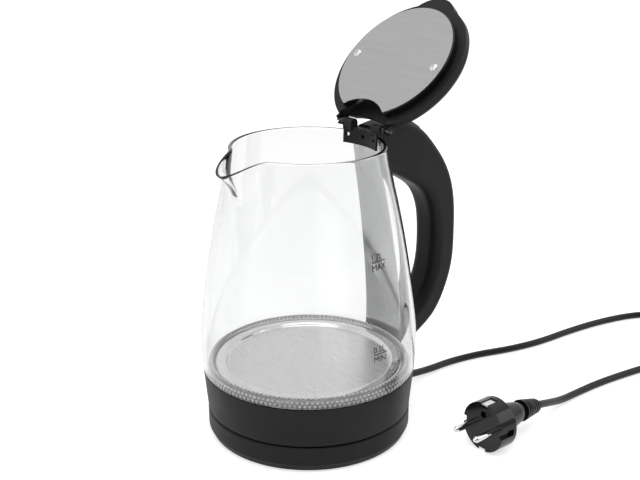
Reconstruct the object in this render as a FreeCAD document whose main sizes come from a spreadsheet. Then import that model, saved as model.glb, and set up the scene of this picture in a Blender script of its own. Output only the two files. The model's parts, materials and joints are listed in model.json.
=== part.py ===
import FreeCAD, Part
import math
import os

import Sketcher

# Electric kettle, glass jug on a 360 degree power base, lid standing open.
# Millimetres, +Z up. The origin is the centre of the rest face, spout towards -X, handle towards +X.

doc = FreeCAD.newDocument("electric_kettle")
sheet = doc.addObject("Spreadsheet::Sheet", "Dims")
Vector = FreeCAD.Vector
X_AXIS = Vector(1, 0, 0)
Y_AXIS = Vector(0, 1, 0)
Z_AXIS = Vector(0, 0, 1)
TURNS = {"x": FreeCAD.Rotation(Y_AXIS, 90), "y": FreeCAD.Rotation(X_AXIS, -90), "z": FreeCAD.Rotation()}

SIZES = {
    # clearances
    "slip_gap": 0.3,            # between pieces that are put together by hand
    "running_gap": 0.05,        # round pins and shafts that turn
    "seat_gap": 0.3,            # jug foot above the power base
    # power base
    "base_radius": 76.0,
    "base_edge_radius": 73.6,   # underside edge, drawn in
    "base_top": 19.4,
    "base_wall": 2.5,
    "foot_height": 1.2,
    "foot_radius": 6.0,
    "foot_circle": 58.0,
    "base_plate_thick": 2.4,
    "base_screw_circle": 44.0,
    "screw_radius": 1.2,
    "screw_head_radius": 2.6,
    "hub_radius": 10.8,         # fixed hub of the power base connector
    "hub_height": 3.8,          # hub above the base top
    "well_radius": 16.4,
    "housing_radius": 18.8,
    "centre_bore_radius": 3.2,
    # kettle side connector
    "skirt_inner": 12.0,
    "skirt_outer": 15.4,
    "connector_radius": 20.0,
    "connector_thick": 2.0,
    "centre_pin_radius": 2.4,
    # jug base band and what it carries
    "seam_gap": 1.8,            # shadow gap between power base and band
    "band_foot_radius": 76.0,
    "band_top_radius": 78.8,
    "band_height": 29.5,
    "band_wall": 2.6,
    "ledge_drop": 10.2,         # clamp ledge below the band top
    "ledge_thick": 2.4,
    "ledge_inner": 68.0,
    "cover_radius": 72.8,
    "cover_thick": 2.2,
    "plate_disc_radius": 60.4,  # flat middle of the heating plate
    "plate_rim_radius": 71.0,
    "plate_thick": 0.8,
    "plate_rise": 2.6,          # bead above the disc
    "plate_disc_lift": 2.3,     # disc above the band top
    "seal_top_lift": 6.6,       # clear seal above the band top
    "clamp_thick": 3.2,
    "spreader_radius": 56.0,
    "spreader_thick": 2.8,
    "element_circle": 44.0,
    "element_radius": 3.3,
    "control_radius": 24.0,
    # glass jug
    "glass_wall": 2.8,
    "belly_radius": 79.7,
    "rim_radius": 55.9,
    "rim_height": 218.2,
    "spout_reach": 21.0,
    "spout_dip": 10.0,
    "spout_half_angle": 27.0,
    "spout_depth": 27.0,        # height of glass that the spout is drawn from
    # bright strip and its backing behind the glass
    "strip_angle": 30.0,
    "strip_thick": 0.8,
    "backing_angle": 28.0,
    "backing_thick": 1.0,
    # handle
    "handle_width": 27.0,
    "handle_wall": 2.6,
    "handle_round_back": 5.0,
    "handle_round_front": 8.0,
    "cover_depth": 7.0,
    # collar, hinge and lid
    "collar_half_width": 20.5,
    "collar_wall": 1.5,
    "collar_height": 11.0,
    "collar_top_thick": 2.6,
    "hinge_x": 52.0,
    "hinge_height": 224.0,
    "hinge_pin_radius": 1.25,
    "hinge_eye_radius": 3.5,
    "hinge_eye_width": 4.6,
    "hinge_eye_start": 24.3,
    "lid_radius": 56.1,
    "lid_plate_radius": 48.3,
    "lid_plug_radius": 49.3,
    "lid_plug_wall": 2.0,
    "lid_flange_drop": 5.6,     # flange underside above the steel plate
    "lid_depth": 14.4,          # steel plate to the outer face
    "lid_wall": 2.2,
    "lid_plate_height": 213.2,  # steel plate height with the lid shut
    "lid_notch_radius": 34.0,
    "lid_notch_reach": 36.0,    # lid centre to the notch
    "lid_tab_reach": 62.0,
    "lid_screw_circle": 40.7,
    "lid_open_angle": 134.3,
    # button, latch and switch
    "button_length": 20.0,
    "button_width": 14.0,
    "button_proud": 1.4,
    "button_gap": 0.4,
    "button_travel": 3.0,
    "button_x": 82.0,
    "lever_width": 18.0,
    "lever_pivot_x": 70.0,
    "lever_pivot_height": 28.6,
    "lever_reach": 20.0,
    "lever_pin_radius": 1.5,
    "rod_radius": 1.5,
    "rod_rise": 4.4,            # rod above the lever's pivot
    # cord and plug
    "cord_radius": 2.9,
    "cord_exit_height": 9.0,
    "relief_length": 24.0,
    "plug_radius": 19.0,
    "plug_height": 19.3,
    "plug_pin_radius": 2.4,
    "plug_pin_pitch": 19.0,
    "plug_pin_length": 19.0,
}


class Size:
    """A length together with the spreadsheet expression that gives it."""

    def __init__(self, value, text):
        self.value = float(value)
        self.text = text

    def __add__(self, other):
        other = size(other)
        return Size(self.value + other.value, f"({self.text} + {other.text})")

    def __sub__(self, other):
        other = size(other)
        return Size(self.value - other.value, f"({self.text} - {other.text})")

    def __mul__(self, other):
        other = size(other)
        return Size(self.value * other.value, f"{self.text} * {other.text}")

    def __truediv__(self, other):
        other = size(other)
        return Size(self.value / other.value, f"{self.text} / {other.text}")

    def __neg__(self):
        return size(0) - self

    __radd__ = __add__
    __rmul__ = __mul__

    def __rsub__(self, other):
        return size(other) - self


def size(number):
    if isinstance(number, Size):
        return number
    return Size(number, f"({number:.6f})")


class Dims:
    """The driving sizes, one attribute for each spreadsheet alias."""


d = Dims()
for line, (name, value) in enumerate(SIZES.items(), start=1):
    sheet.set(f"A{line}", name)
    sheet.set(f"B{line}", str(value))
    sheet.setAlias(f"B{line}", name)
    setattr(d, name, Size(value, f"Dims.{name}"))
doc.recompute()


# ---------------------------------------------------------------- helpers

def bind(thing, prop, length):
    thing.setExpression(prop, size(length).text)


def place(thing, at, turn=None):
    thing.Placement = FreeCAD.Placement(Vector(0, 0, 0), turn or FreeCAD.Rotation())
    for letter, length in zip("xyz", at):
        bind(thing, f"Placement.Base.{letter}", length)
    return thing


def cylinder(label, radius, height, at=(0, 0, 0), along="z"):
    thing = doc.addObject("Part::Cylinder", label)
    bind(thing, "Radius", radius)
    bind(thing, "Height", height)
    return place(thing, at, TURNS[along])


def cone(label, radius_low, radius_high, height, at=(0, 0, 0), along="z"):
    thing = doc.addObject("Part::Cone", label)
    bind(thing, "Radius1", radius_low)
    bind(thing, "Radius2", radius_high)
    bind(thing, "Height", height)
    return place(thing, at, TURNS[along])


def box(label, low, high):
    thing = doc.addObject("Part::Box", label)
    for prop, start, end in zip(("Length", "Width", "Height"), low, high):
        bind(thing, prop, size(end) - start)
    return place(thing, low)


def radial_box(label, start, end, width, low, high, angle):
    """A bar that runs out from the axis at an angle."""
    bar = box(label + "_bar", (start, -size(width) / 2, low), (end, size(width) / 2, high))
    thing = group(label, [bar])
    thing.Placement = FreeCAD.Placement(Vector(0, 0, 0), FreeCAD.Rotation(Z_AXIS, angle))
    return thing


def group(label, things):
    thing = doc.addObject("Part::Compound", label)
    thing.Links = things
    return thing


def cut(label, base, tools):
    thing = doc.addObject("Part::Cut", label)
    thing.Base = base
    thing.Tool = tools[0] if len(tools) == 1 else group(label + "_tools", tools)
    return thing


def fuse(label, things):
    thing = doc.addObject("Part::MultiFuse", label)
    thing.Shapes = things
    return thing


def common(label, things):
    thing = doc.addObject("Part::MultiCommon", label)
    thing.Shapes = things
    return thing


def feature(label, shape):
    thing = doc.addObject("Part::Feature", label)
    thing.Shape = shape
    return thing


def origin_plane(body, role):
    return next(plane for plane in body.Origin.OriginFeatures if plane.Role == role)


def outline_sketch(body, label, role, points):
    """A closed polygon whose corners are held by dimensions from the origin."""
    sketch = body.newObject("Sketcher::SketchObject", label + "_outline")
    sketch.AttachmentSupport = (origin_plane(body, role), [""])
    sketch.MapMode = "FlatFace"
    corners = [Vector(size(a).value, size(b).value, 0) for a, b in points]
    count = len(corners)
    for start, end in zip(corners, corners[1:] + corners[:1]):
        sketch.addGeometry(Part.LineSegment(start, end), False)
    for index in range(count):
        sketch.addConstraint(Sketcher.Constraint("Coincident", index, 2, (index + 1) % count, 1))
    for index, (a, b) in enumerate(points):
        for kind, axis, length in (("DistanceX", -2, size(a)), ("DistanceY", -1, size(b))):
            if abs(length.value) < 1e-9:
                sketch.addConstraint(Sketcher.Constraint("PointOnObject", index, 1, axis))
                continue
            held = sketch.addConstraint(Sketcher.Constraint(kind, -1, 1, index, 1, length.value))
            bind(sketch, f"Constraints[{held}]", length)
    return sketch


def revolved(label, points):
    """A solid of revolution about Z from (radius, height) corners."""
    body = doc.addObject("PartDesign::Body", label)
    sketch = outline_sketch(body, label, "XZ_Plane", points)
    turn = body.newObject("PartDesign::Revolution", label + "_turn")
    turn.Profile = sketch
    turn.ReferenceAxis = (sketch, ["V_Axis"])
    turn.Angle = 360.0
    sketch.Visibility = False
    return body


def padded(label, points, width):
    """A plate cut from an (x, z) outline, centred on the plane Y = 0."""
    body = doc.addObject("PartDesign::Body", label)
    sketch = outline_sketch(body, label, "XZ_Plane", points)
    pad = body.newObject("PartDesign::Pad", label + "_pad")
    pad.Profile = sketch
    pad.Midplane = True
    bind(pad, "Length", width)
    sketch.Visibility = False
    return body


def around(count, radius, phase=0.0):
    """Centres on a circle, as (x, y) sizes."""
    angles = [math.radians(phase + 360.0 * step / count) for step in range(count)]
    return [(radius * math.cos(angle), radius * math.sin(angle)) for angle in angles]


def screws(label, centres, head_height, head_thick, tip_height, head_radius=None, shank=None):
    """Upright screws, head down when the tip is above it."""
    pieces = []
    head_radius = head_radius or d.screw_head_radius
    shank = shank or d.screw_radius
    for number, (x, y) in enumerate(centres):
        head = cylinder(f"{label}_head{number}", head_radius, head_thick, (x, y, head_height))
        body = cylinder(f"{label}_shank{number}", shank, size(tip_height) - head_height, (x, y, head_height))
        pieces.append(fuse(f"{label}_{number}", [head, body]))
    return group(label, pieces)


def bent_path(points):
    """Straight runs joined by tangent arcs, each as large as its two runs allow."""
    corners = [Vector(*point) for point in points]
    edges, radii, start = [], [], corners[0]
    for before, corner, after in zip(corners, corners[1:], corners[2:]):
        inward, outward = (corner - before), (after - corner)
        reach = 0.45 * min(inward.Length, outward.Length)
        inward.normalize()
        outward.normalize()
        half_turn = inward.getAngle(outward) / 2
        radii.append(reach / math.tan(half_turn))
        first, last = corner - inward * reach, corner + outward * reach
        towards = outward - inward
        towards.normalize()
        middle = corner + towards * (radii[-1] / math.cos(half_turn) - radii[-1])
        edges += [Part.LineSegment(start, first).toShape(), Part.Arc(first, middle, last).toShape()]
        start = last
    edges.append(Part.LineSegment(start, corners[-1]).toShape())
    return Part.Wire(edges), radii


def bent_tube(label, points, radius, bore=0.0):
    path, radii = bent_path(points)
    first = path.Edges[0]
    heading = first.tangentAt(first.FirstParameter)
    start = Vector(*points[0])

    def swept(around_radius):
        ring = Part.Wire([Part.makeCircle(around_radius, start, heading)])
        return path.makePipeShell([ring], True, False)

    tube = swept(radius)
    wanted = math.pi * radius ** 2 * path.Length
    if abs(tube.Volume - wanted) > 0.01 * wanted:
        raise ValueError(f"{label}: the sweep holds {tube.Volume:.0f} mm3, not {wanted:.0f}")
    if bore:
        tube = tube.cut(swept(bore))
    print(f"{label}: length {path.Length:.1f}, arc radii {[round(radius) for radius in radii]}")
    return feature(label, tube)


def spline(points):
    curve = Part.BSplineCurve()
    curve.interpolate([Vector(*point) for point in points])
    return curve


# ---------------------------------------------------------------- shared heights

base_floor = d.foot_height
band_foot = d.base_top + d.seam_gap
band_top = band_foot + d.band_height
ledge_top = band_top - d.ledge_drop + d.ledge_thick
clamp_top = ledge_top + d.clamp_thick
disc_top = band_top + d.plate_disc_lift
spreader_top = disc_top - d.plate_thick
element_height = spreader_top - d.spreader_thick - d.element_radius
cover_foot = d.base_top + d.seat_gap
cover_low = band_foot + 1.2
flange_low = cover_low + d.cover_thick - 1.0
control_low = flange_low + d.connector_thick + d.slip_gap
control_top = spreader_top - d.spreader_thick - 4.4
hub_top = d.base_top + d.hub_height
glass_foot = band_top + 0.3
shell_roof = d.base_top - d.base_wall
rod_height = d.lever_pivot_height + d.rod_rise


# ---------------------------------------------------------------- glass profile

def glass_profile():
    """Heights and outer radii of the glass from its foot to the rim, as a smooth curve in the XZ plane."""
    foot, rim = glass_foot.value, d.rim_height.value
    narrow, wide = d.rim_radius.value, d.belly_radius.value
    shares = [(0.145, 1.0), (0.32, 0.895), (0.53, 0.672), (0.77, 0.336), (0.92, 0.093)]
    points = [(d.band_top_radius.value + 0.2, 0, foot)]
    points += [(narrow + share * (wide - narrow), 0, foot + part * (rim - foot)) for part, share in shares]
    return spline(points + [(narrow, 0, rim)])


PROFILE = glass_profile()


def glass_radius(height):
    low, high = PROFILE.FirstParameter, PROFILE.LastParameter
    for _ in range(40):
        middle = (low + high) / 2
        if PROFILE.value(middle).z < height:
            low = middle
        else:
            high = middle
    return PROFILE.value(low).x


def wall_band(inner_offset, outer_offset, low, high, angle, steps=12):
    """A piece of wall that follows the glass, centred on +X."""
    heights = [low + (high - low) * step / steps for step in range(steps + 1)]
    inner = spline([(glass_radius(z) + inner_offset, 0, z) for z in heights]).toShape()
    outer = spline([(glass_radius(z) + outer_offset, 0, z) for z in heights]).toShape()
    ends = [Part.makeLine(edge_a, edge_b) for edge_a, edge_b in (
        (outer.Vertexes[-1].Point, inner.Vertexes[-1].Point), (inner.Vertexes[0].Point, outer.Vertexes[0].Point))]
    face = Part.Face(Part.Wire([outer, ends[0], inner, ends[1]]))
    face.rotate(Vector(0, 0, 0), Z_AXIS, -angle / 2)
    return face.revolve(Vector(0, 0, 0), Z_AXIS, angle)


# ---------------------------------------------------------------- power base

def power_base_shell():
    blank = revolved("power_base_blank", [
        (d.housing_radius + d.slip_gap, shell_roof), (d.housing_radius + d.slip_gap, d.base_top),
        (d.base_radius - 1.0, d.base_top), (d.base_radius, d.base_top - 1.0),
        (d.base_radius, base_floor + 5.0), (d.base_edge_radius, base_floor),
        (d.base_edge_radius - d.base_wall, base_floor), (d.base_radius - d.base_wall, base_floor + 5.0),
        (d.base_radius - d.base_wall, shell_roof)])
    boss_low = base_floor + d.base_plate_thick + 0.1
    bosses = [cylinder(f"shell_boss{n}", 4.0, shell_roof - boss_low + 0.5, (x, y, boss_low))
              for n, (x, y) in enumerate(around(3, d.base_screw_circle, 60))]
    clamp_posts = [cylinder(f"clamp_post{side}", 3.2, shell_roof - clamp_base + 0.5, (clamp_x, y, clamp_base))
                   for side, y in enumerate((-8.5, 8.5))]
    holes = [cylinder(f"shell_pilot{n}", d.screw_radius + d.running_gap, 9.0, (x, y, boss_low - 1.0))
             for n, (x, y) in enumerate(around(3, d.base_screw_circle, 60))]
    holes += [cylinder(f"clamp_pilot{side}", d.screw_radius + d.running_gap, 5.5, (clamp_x, y, clamp_base - 1.0))
              for side, y in enumerate((-8.5, 8.5))]
    holes.append(cylinder("cord_hole", relief_neck + d.running_gap, 12.0,
                          (d.base_radius - 8.0, 0, d.cord_exit_height), "x"))
    return cut("power_base_shell", fuse("power_base_solid", [blank] + bosses + clamp_posts), holes)


relief_neck = d.cord_radius + 1.3
clamp_x = 54.0
clamp_base = d.cord_exit_height + d.cord_radius + 1.6
plate_top = base_floor + d.base_plate_thick

power_base_shell()
cut("power_base_plate",
    cylinder("base_plate_blank", d.base_edge_radius - d.base_wall - d.slip_gap, d.base_plate_thick,
             (0, 0, base_floor)),
    [cylinder(f"plate_hole{n}", d.screw_radius + 0.3, 6.0, (x, y, base_floor - 1.0))
     for n, (x, y) in enumerate(around(3, d.base_screw_circle, 60))]
    + [cylinder(f"plate_sink{n}", d.screw_head_radius + 0.3, 1.4, (x, y, base_floor - 0.2))
       for n, (x, y) in enumerate(around(3, d.base_screw_circle, 60))])
group("base_feet", [cylinder(f"foot{n}", d.foot_radius, d.foot_height, (x, y, 0))
                    for n, (x, y) in enumerate(around(4, d.foot_circle, 45))])
screws("base_plate_screws", around(3, d.base_screw_circle, 60), base_floor + 0.1, 1.1, plate_top + 7.0)

revolved("base_connector_housing", [
    (d.centre_bore_radius, 7.4), (d.centre_bore_radius, hub_top), (d.hub_radius - 0.6, hub_top),
    (d.hub_radius, hub_top - 0.6), (d.hub_radius, 10.0), (d.well_radius, 10.0), (d.well_radius, d.base_top),
    (d.housing_radius, d.base_top), (d.housing_radius, plate_top + 0.2), (0, plate_top + 0.2), (0, 7.4)])
group("base_contacts", [
    cut("neutral_ring", cylinder("neutral_blank", 13.2, 1.4, (0, 0, 10.0)),
        [cylinder("neutral_bore", 12.2, 3.0, (0, 0, 9.5))]),
    cut("earth_ring", cylinder("earth_blank", 15.6, 1.4, (0, 0, 10.0)),
        [cylinder("earth_bore", 14.6, 3.0, (0, 0, 9.5))]),
    cylinder("live_contact", d.centre_bore_radius - 0.1, 1.4, (0, 0, 7.4))])

# cord entry: sleeve through the wall, clamp bar with two screws, three wires to the contacts
relief_flange = d.base_radius - d.base_wall - 3.7
relief_body = fuse("cord_relief_solid", [
    cylinder("relief_flange", relief_neck + 1.0, 2.0, (relief_flange, 0, d.cord_exit_height), "x"),
    cylinder("relief_neck", relief_neck, 8.0, (relief_flange, 0, d.cord_exit_height), "x"),
    cone("relief_cone", relief_neck + 0.6, d.cord_radius + 0.9, d.relief_length,
         (d.base_radius + 0.2, 0, d.cord_exit_height), "x")])
cut("cord_strain_relief", relief_body,
    [cylinder("relief_bore", d.cord_radius + 0.1, 60.0, (relief_flange - 10.0, 0, d.cord_exit_height), "x")])
cut("cord_clamp",
    box("clamp_bar", (clamp_x - 3.5, -12.0, clamp_base - 4.0), (clamp_x + 3.5, 12.0, clamp_base)),
    [cylinder("clamp_groove", d.cord_radius + d.slip_gap, 12.0, (clamp_x - 6.0, 0, d.cord_exit_height), "x")]
    + [cylinder(f"clamp_hole{side}", d.screw_radius + 0.2, 8.0, (clamp_x, y, clamp_base - 5.0))
       for side, y in enumerate((-8.5, 8.5))])
screws("cord_clamp_screws", [(clamp_x, -8.5), (clamp_x, 8.5)], clamp_base - 5.3, 1.3, clamp_base + 3.5, 2.2)
wire_start = 46.0
group("base_wires", [
    cylinder(f"base_wire{n}", 1.0, wire_start - 19.2, (19.0, y, d.cord_exit_height), "x")
    for n, y in enumerate((-2.2, 0.0, 2.2))])

CORD_ROUTE = [
    (46.0, 0.0, 9.0), (73.0, 0.4, 9.0), (101.0, -1.2, 8.0), (127.0, 0.6, 4.2), (155.0, 2.2, 3.0),
    (184.0, -3.0, 3.0), (214.0, -13.5, 3.0), (247.0, -20.0, 3.0), (285.0, -21.0, 3.0), (326.0, -25.5, 3.0),
    (365.0, -36.0, 3.0), (393.0, -57.0, 3.0), (400.0, -86.0, 3.0), (381.0, -110.0, 3.0),
    (345.0, -119.0, 3.0), (303.0, -115.0, 3.0), (262.0, -108.0, 3.0), (224.0, -103.5, 3.0),
    (196.0, -103.0, 3.0), (172.0, -105.0, 4.4), (150.0, -109.0, 10.6), (128.0, -112.6, 17.0),
    (107.0, -114.0, 19.3)]
bent_tube("cord_run", CORD_ROUTE, d.cord_radius.value)

# ---------------------------------------------------------------- plug, lying on its side

plug_face = 70.0
plug_y = -114.0
plug_z = d.plug_height


def plug_part(label, radius_low, radius_high, start, length):
    return cone(label, radius_low, radius_high, length, (plug_face + start, plug_y, plug_z), "x")


plug_solid = fuse("plug_solid", [
    cylinder("plug_face_disc", d.plug_radius, 15.0, (plug_face, plug_y, plug_z), "x"),
    plug_part("plug_shoulder", d.plug_radius, 11.5, 15.0, 5.0),
    plug_part("plug_neck", 11.5, 8.5, 20.0, 14.0),
    plug_part("plug_tail", 8.5, 6.4, 34.0, 6.0)])
pin_sides = [plug_y - d.plug_pin_pitch / 2, plug_y + d.plug_pin_pitch / 2]
cut("plug_body", plug_solid,
    [cylinder(f"plug_pin_bore{n}", d.plug_pin_radius - 0.28, 13.0, (plug_face - 1.0, y, plug_z), "x")
     for n, y in enumerate(pin_sides)]
    + [box(f"plug_side{n}", (plug_face - 1.0, y - 4.0, plug_z - 2.7), (plug_face + 12.0, y + 4.0, plug_z + 2.7))
       for n, y in enumerate((plug_y - d.plug_radius - 1.2, plug_y + d.plug_radius + 1.2))]
    + [box(f"plug_clip_slot{n}", (plug_face - 1.0, plug_y - 3.3, z - 1.9), (plug_face + 11.0, plug_y + 3.3, z + 1.9))
       for n, z in enumerate((plug_z - d.plug_radius + 1.4, plug_z + d.plug_radius - 1.4))]
    + [cylinder("plug_earth_hole", 2.6, 13.0, (plug_face - 1.0, plug_y, plug_z + 10.0), "x"),
       cylinder("plug_cord_bore", d.cord_radius + 0.05, 6.0, (plug_face + 36.0, plug_y, plug_z), "x")])
group("plug_pins", [
    fuse(f"plug_pin{n}", [
        cylinder(f"pin_shank{n}", d.plug_pin_radius, d.plug_pin_length - 2.0,
                 (plug_face - d.plug_pin_length + 2.0, y, plug_z), "x"),
        cylinder(f"pin_root{n}", d.plug_pin_radius - 0.3, 11.0, (plug_face - 1.0, y, plug_z), "x"),
        cone(f"pin_nose{n}", d.plug_pin_radius - 1.2, d.plug_pin_radius, 2.0,
             (plug_face - d.plug_pin_length, y, plug_z), "x")])
    for n, y in enumerate(pin_sides)])
group("plug_earth_clips", [
    box(f"earth_clip{n}", (plug_face + 0.4, plug_y - 3.0, z - 0.5), (plug_face + 10.98, plug_y + 3.0, z + 0.5))
    for n, z in enumerate((plug_z - d.plug_radius + 1.6, plug_z + d.plug_radius - 1.6))])


def plug_relief():
    """A tapered sleeve round the cord, with ribs, that bends down with it."""
    last, before = Vector(*CORD_ROUTE[-1]), Vector(*CORD_ROUTE[-2])
    heading = before - last
    heading.normalize()
    start = last + heading * 3.9
    length, ribs = 20.0, 5
    sleeve = Part.makeCone(6.2, 4.2, length, start, heading)
    for rib in range(ribs):
        at = start + heading * (length * (rib + 0.5) / ribs - 0.8)
        sleeve = sleeve.fuse(Part.makeCylinder(6.6 - 0.42 * rib, 1.6, at, heading))
    bore = Part.makeCylinder(d.cord_radius.value + 0.05, length + 20, last - heading * 8, heading)
    return feature("plug_strain_relief", sleeve.cut(bore))


plug_relief()

# ---------------------------------------------------------------- kettle side connector

revolved("kettle_connector", [
    (0, flange_low), (d.skirt_inner, flange_low), (d.skirt_inner, 13.2), (d.skirt_outer, 13.2),
    (d.skirt_outer, flange_low), (d.connector_radius, flange_low),
    (d.connector_radius, flange_low + d.connector_thick), (0, flange_low + d.connector_thick)])
group("connector_pins", [
    cylinder("live_pin", d.centre_pin_radius, flange_low - 10.0, (0, 0, 10.0)),
    cut("skirt_ring", cylinder("skirt_ring_blank", d.skirt_outer - 0.6, 1.0, (0, 0, 12.2)),
        [cylinder("skirt_ring_bore", d.skirt_inner + 0.6, 2.0, (0, 0, 11.7))])])

# ---------------------------------------------------------------- jug base

window_low = band_foot + 1.6
window_high = d.lever_pivot_height + 6.5


def jug_base_band():
    blank = revolved("band_blank", [
        (d.band_foot_radius, band_foot), (d.band_top_radius, band_top),
        (d.band_top_radius - d.band_wall - 0.6, band_top), (d.band_top_radius - d.band_wall - 0.6, ledge_top),
        (d.ledge_inner, ledge_top), (d.ledge_inner, ledge_top - d.ledge_thick),
        (d.band_foot_radius - d.band_wall, ledge_top - d.ledge_thick - 4.0),
        (d.band_foot_radius - d.band_wall, band_foot)])
    ears = [box(f"switch_ear{n}", (d.lever_pivot_x - 3.5, low, window_low + 2.0),
                (d.band_foot_radius - 1.6, low + 2.4, d.lever_pivot_height + 3.5))
            for n, low in enumerate((d.lever_width / 2 + d.slip_gap, -2.4 - d.slip_gap - d.lever_width / 2))]
    bosses = [cylinder(f"cover_boss{n}", 3.6, 12.0, (x, y, cover_low + d.cover_thick))
              for n, (x, y) in enumerate(around(3, cover_screw_circle, 90))]
    webs = [radial_box(f"boss_web{n}", cover_screw_circle + 2.0, d.band_foot_radius - 1.5, 2.8,
                       cover_low + d.cover_thick, cover_low + d.cover_thick + 12.0, 90.0 + 120.0 * n)
            for n in range(3)]
    solid = fuse("band_solid", [blank] + ears + bosses + webs)
    half = d.lever_width / 2 + d.slip_gap
    tools = [box("switch_window", (d.lever_pivot_x - 10.0, -half, window_low),
                 (d.band_top_radius + 4.0, half, window_high)),
             cylinder("switch_pin_hole", d.lever_pin_radius + 0.02, 60.0,
                      (d.lever_pivot_x, -30.0, d.lever_pivot_height), "y"),
             cylinder("foot_screw_hole", d.screw_radius + 0.3, 14.0,
                      (d.band_foot_radius - 8.0, 0, foot_screw_height), "x")]
    tools += [cylinder(f"cover_pilot{n}", d.screw_radius + d.running_gap, 10.0, (x, y, cover_low))
              for n, (x, y) in enumerate(around(3, cover_screw_circle, 90))]
    tools.append(cylinder("foot_screw_seat", 2.3, 9.0,
                          (d.band_foot_radius - d.band_wall - 9.2, 0, foot_screw_height), "x"))
    tools += [cylinder(f"ledge_sink{n}", 2.5, 7.0, (x, y, ledge_top - d.ledge_thick - 7.0))
              for n, (x, y) in enumerate(around(4, clamp_circle, 45))]
    tools += [cylinder(f"ledge_hole{n}", d.screw_radius + 0.3, 12.0, (x, y, ledge_top - 8.0))
              for n, (x, y) in enumerate(around(4, clamp_circle, 45))]
    return cut("jug_base_band", solid, tools)


cover_screw_circle = d.cover_radius - 15.0
clamp_circle = d.ledge_inner + 2.6
foot_screw_height = ledge_top - d.ledge_thick - 2.0

jug_base_band()
cut("jug_bottom_cover",
    revolved("bottom_cover_blank", [
        (d.connector_radius + d.running_gap, cover_low), (d.connector_radius + d.running_gap, cover_low + d.cover_thick),
        (d.cover_radius, cover_low + d.cover_thick), (d.cover_radius, cover_low), (70.0, cover_low),
        (70.0, cover_foot), (64.0, cover_foot), (64.0, cover_low)]),
    [cylinder(f"cover_hole{n}", d.screw_radius + 0.3, 8.0, (x, y, cover_low - 2.0))
     for n, (x, y) in enumerate(around(3, cover_screw_circle, 90))])
screws("bottom_cover_screws", around(3, cover_screw_circle, 90), cover_low - 1.3, 1.2, cover_low + 9.0)

plate_flange = d.band_top_radius - d.band_wall - 0.9
rim_inner = d.plate_rim_radius - d.plate_thick
bead_top = disc_top + d.plate_rise
revolved("heating_plate", [
    (0, disc_top), (d.plate_disc_radius, disc_top), (d.plate_disc_radius + 2.0, bead_top),
    (d.plate_rim_radius - 2.6, bead_top), (d.plate_rim_radius, bead_top - 2.4),
    (d.plate_rim_radius, clamp_top + d.plate_thick), (plate_flange, clamp_top + d.plate_thick),
    (plate_flange, clamp_top), (rim_inner, clamp_top), (rim_inner, bead_top - 2.7),
    (d.plate_rim_radius - 3.0, bead_top - d.plate_thick),
    (d.plate_disc_radius + 2.6, bead_top - d.plate_thick),
    (d.plate_disc_radius + 0.5, spreader_top), (0, spreader_top)])
seal_outer = d.band_top_radius - d.glass_wall - 0.9
revolved("seal_ring", [
    (d.plate_rim_radius + 0.1, clamp_top + d.plate_thick), (d.plate_rim_radius + 0.1, bead_top - 2.2),
    (d.plate_rim_radius + 0.9, band_top + d.seal_top_lift), (seal_outer - 1.4, band_top + d.seal_top_lift),
    (seal_outer - 0.8, band_top + d.seal_top_lift - 1.6), (seal_outer, band_top + d.seal_top_lift - 2.0),
    (seal_outer, clamp_top + d.plate_thick)])
cut("plate_clamp_ring",
    revolved("clamp_ring_blank", [
        (d.ledge_inner - 1.6, ledge_top), (d.ledge_inner - 1.6, clamp_top), (plate_flange, clamp_top),
        (plate_flange, ledge_top)]),
    [cylinder(f"clamp_ring_hole{n}", d.screw_radius + d.running_gap, 3.0, (x, y, ledge_top - 0.5))
     for n, (x, y) in enumerate(around(4, clamp_circle, 45))])
screws("clamp_ring_screws", around(4, clamp_circle, 45), ledge_top - d.ledge_thick - 1.3, 1.2, ledge_top + 2.2, 2.2)
cylinder("heat_spreader", d.spreader_radius, d.spreader_thick, (0, 0, spreader_top - d.spreader_thick))


def heating_element():
    """A sheathed element, three quarters of a turn, with its cold ends turned down."""
    radius, tube, height = d.element_circle.value, d.element_radius.value, element_height.value
    gap = 30.0
    points = [Vector(radius * math.cos(a), radius * math.sin(a), height)
              for a in (math.radians(gap), math.radians(180), math.radians(-gap))]
    ring = Part.Wire([Part.Arc(*points).toShape()])
    heading = ring.Edges[0].tangentAt(ring.Edges[0].FirstParameter)
    body = ring.makePipeShell([Part.Wire([Part.makeCircle(tube, points[0], heading)])], True, False)
    for end in (points[0], points[2]):
        body = body.fuse(Part.makeSphere(tube, end))
        body = body.fuse(Part.makeCylinder(1.6, 9.0, end - Z_AXIS * 11.0))
    return feature("heating_element", body)


heating_element()
cut("control_body", cylinder("control_blank", d.control_radius, control_top - control_low, (0, 0, control_low)),
    [cylinder(f"control_hole{n}", 1.6, 12.0, (x, y, control_top - 8.0))
     for n, (x, y) in enumerate(around(3, 16.0, 90))]
    + [box("control_slot", (19.0, -4.0, rod_height - 2.4), (30.0, 4.0, rod_height + 2.4))])
group("control_screws", [
    cylinder(f"control_screw{n}", 1.5, spreader_top - d.spreader_thick - control_top + 7.0,
             (x, y, control_top - 7.0))
    for n, (x, y) in enumerate(around(3, 16.0, 90))])
group("bimetal_discs", [cylinder(f"bimetal{n}", 5.0, 0.8, (x, y, control_top))
                        for n, (x, y) in enumerate(around(2, 7.0, 0))])
lead_x = d.element_circle * math.cos(math.radians(30))
lead_y = d.element_circle * math.sin(math.radians(30))
group("element_leads", [
    box(f"element_lead{n}", (13.2, y - 1.8, element_height - 12.6),
        (lead_x + 2.0, y + 1.8, element_height - 11.1))
    for n, y in enumerate((-lead_y, lead_y))])

# ---------------------------------------------------------------- glass jug


def lip(angle):
    """How much of the spout's pull there is at this angle, from 0 to 1."""
    share = abs(math.degrees(angle) - 180.0) / d.spout_half_angle.value
    return 0.0 if share >= 1 else (0.5 + 0.5 * math.cos(math.pi * share)) ** 1.15


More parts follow.
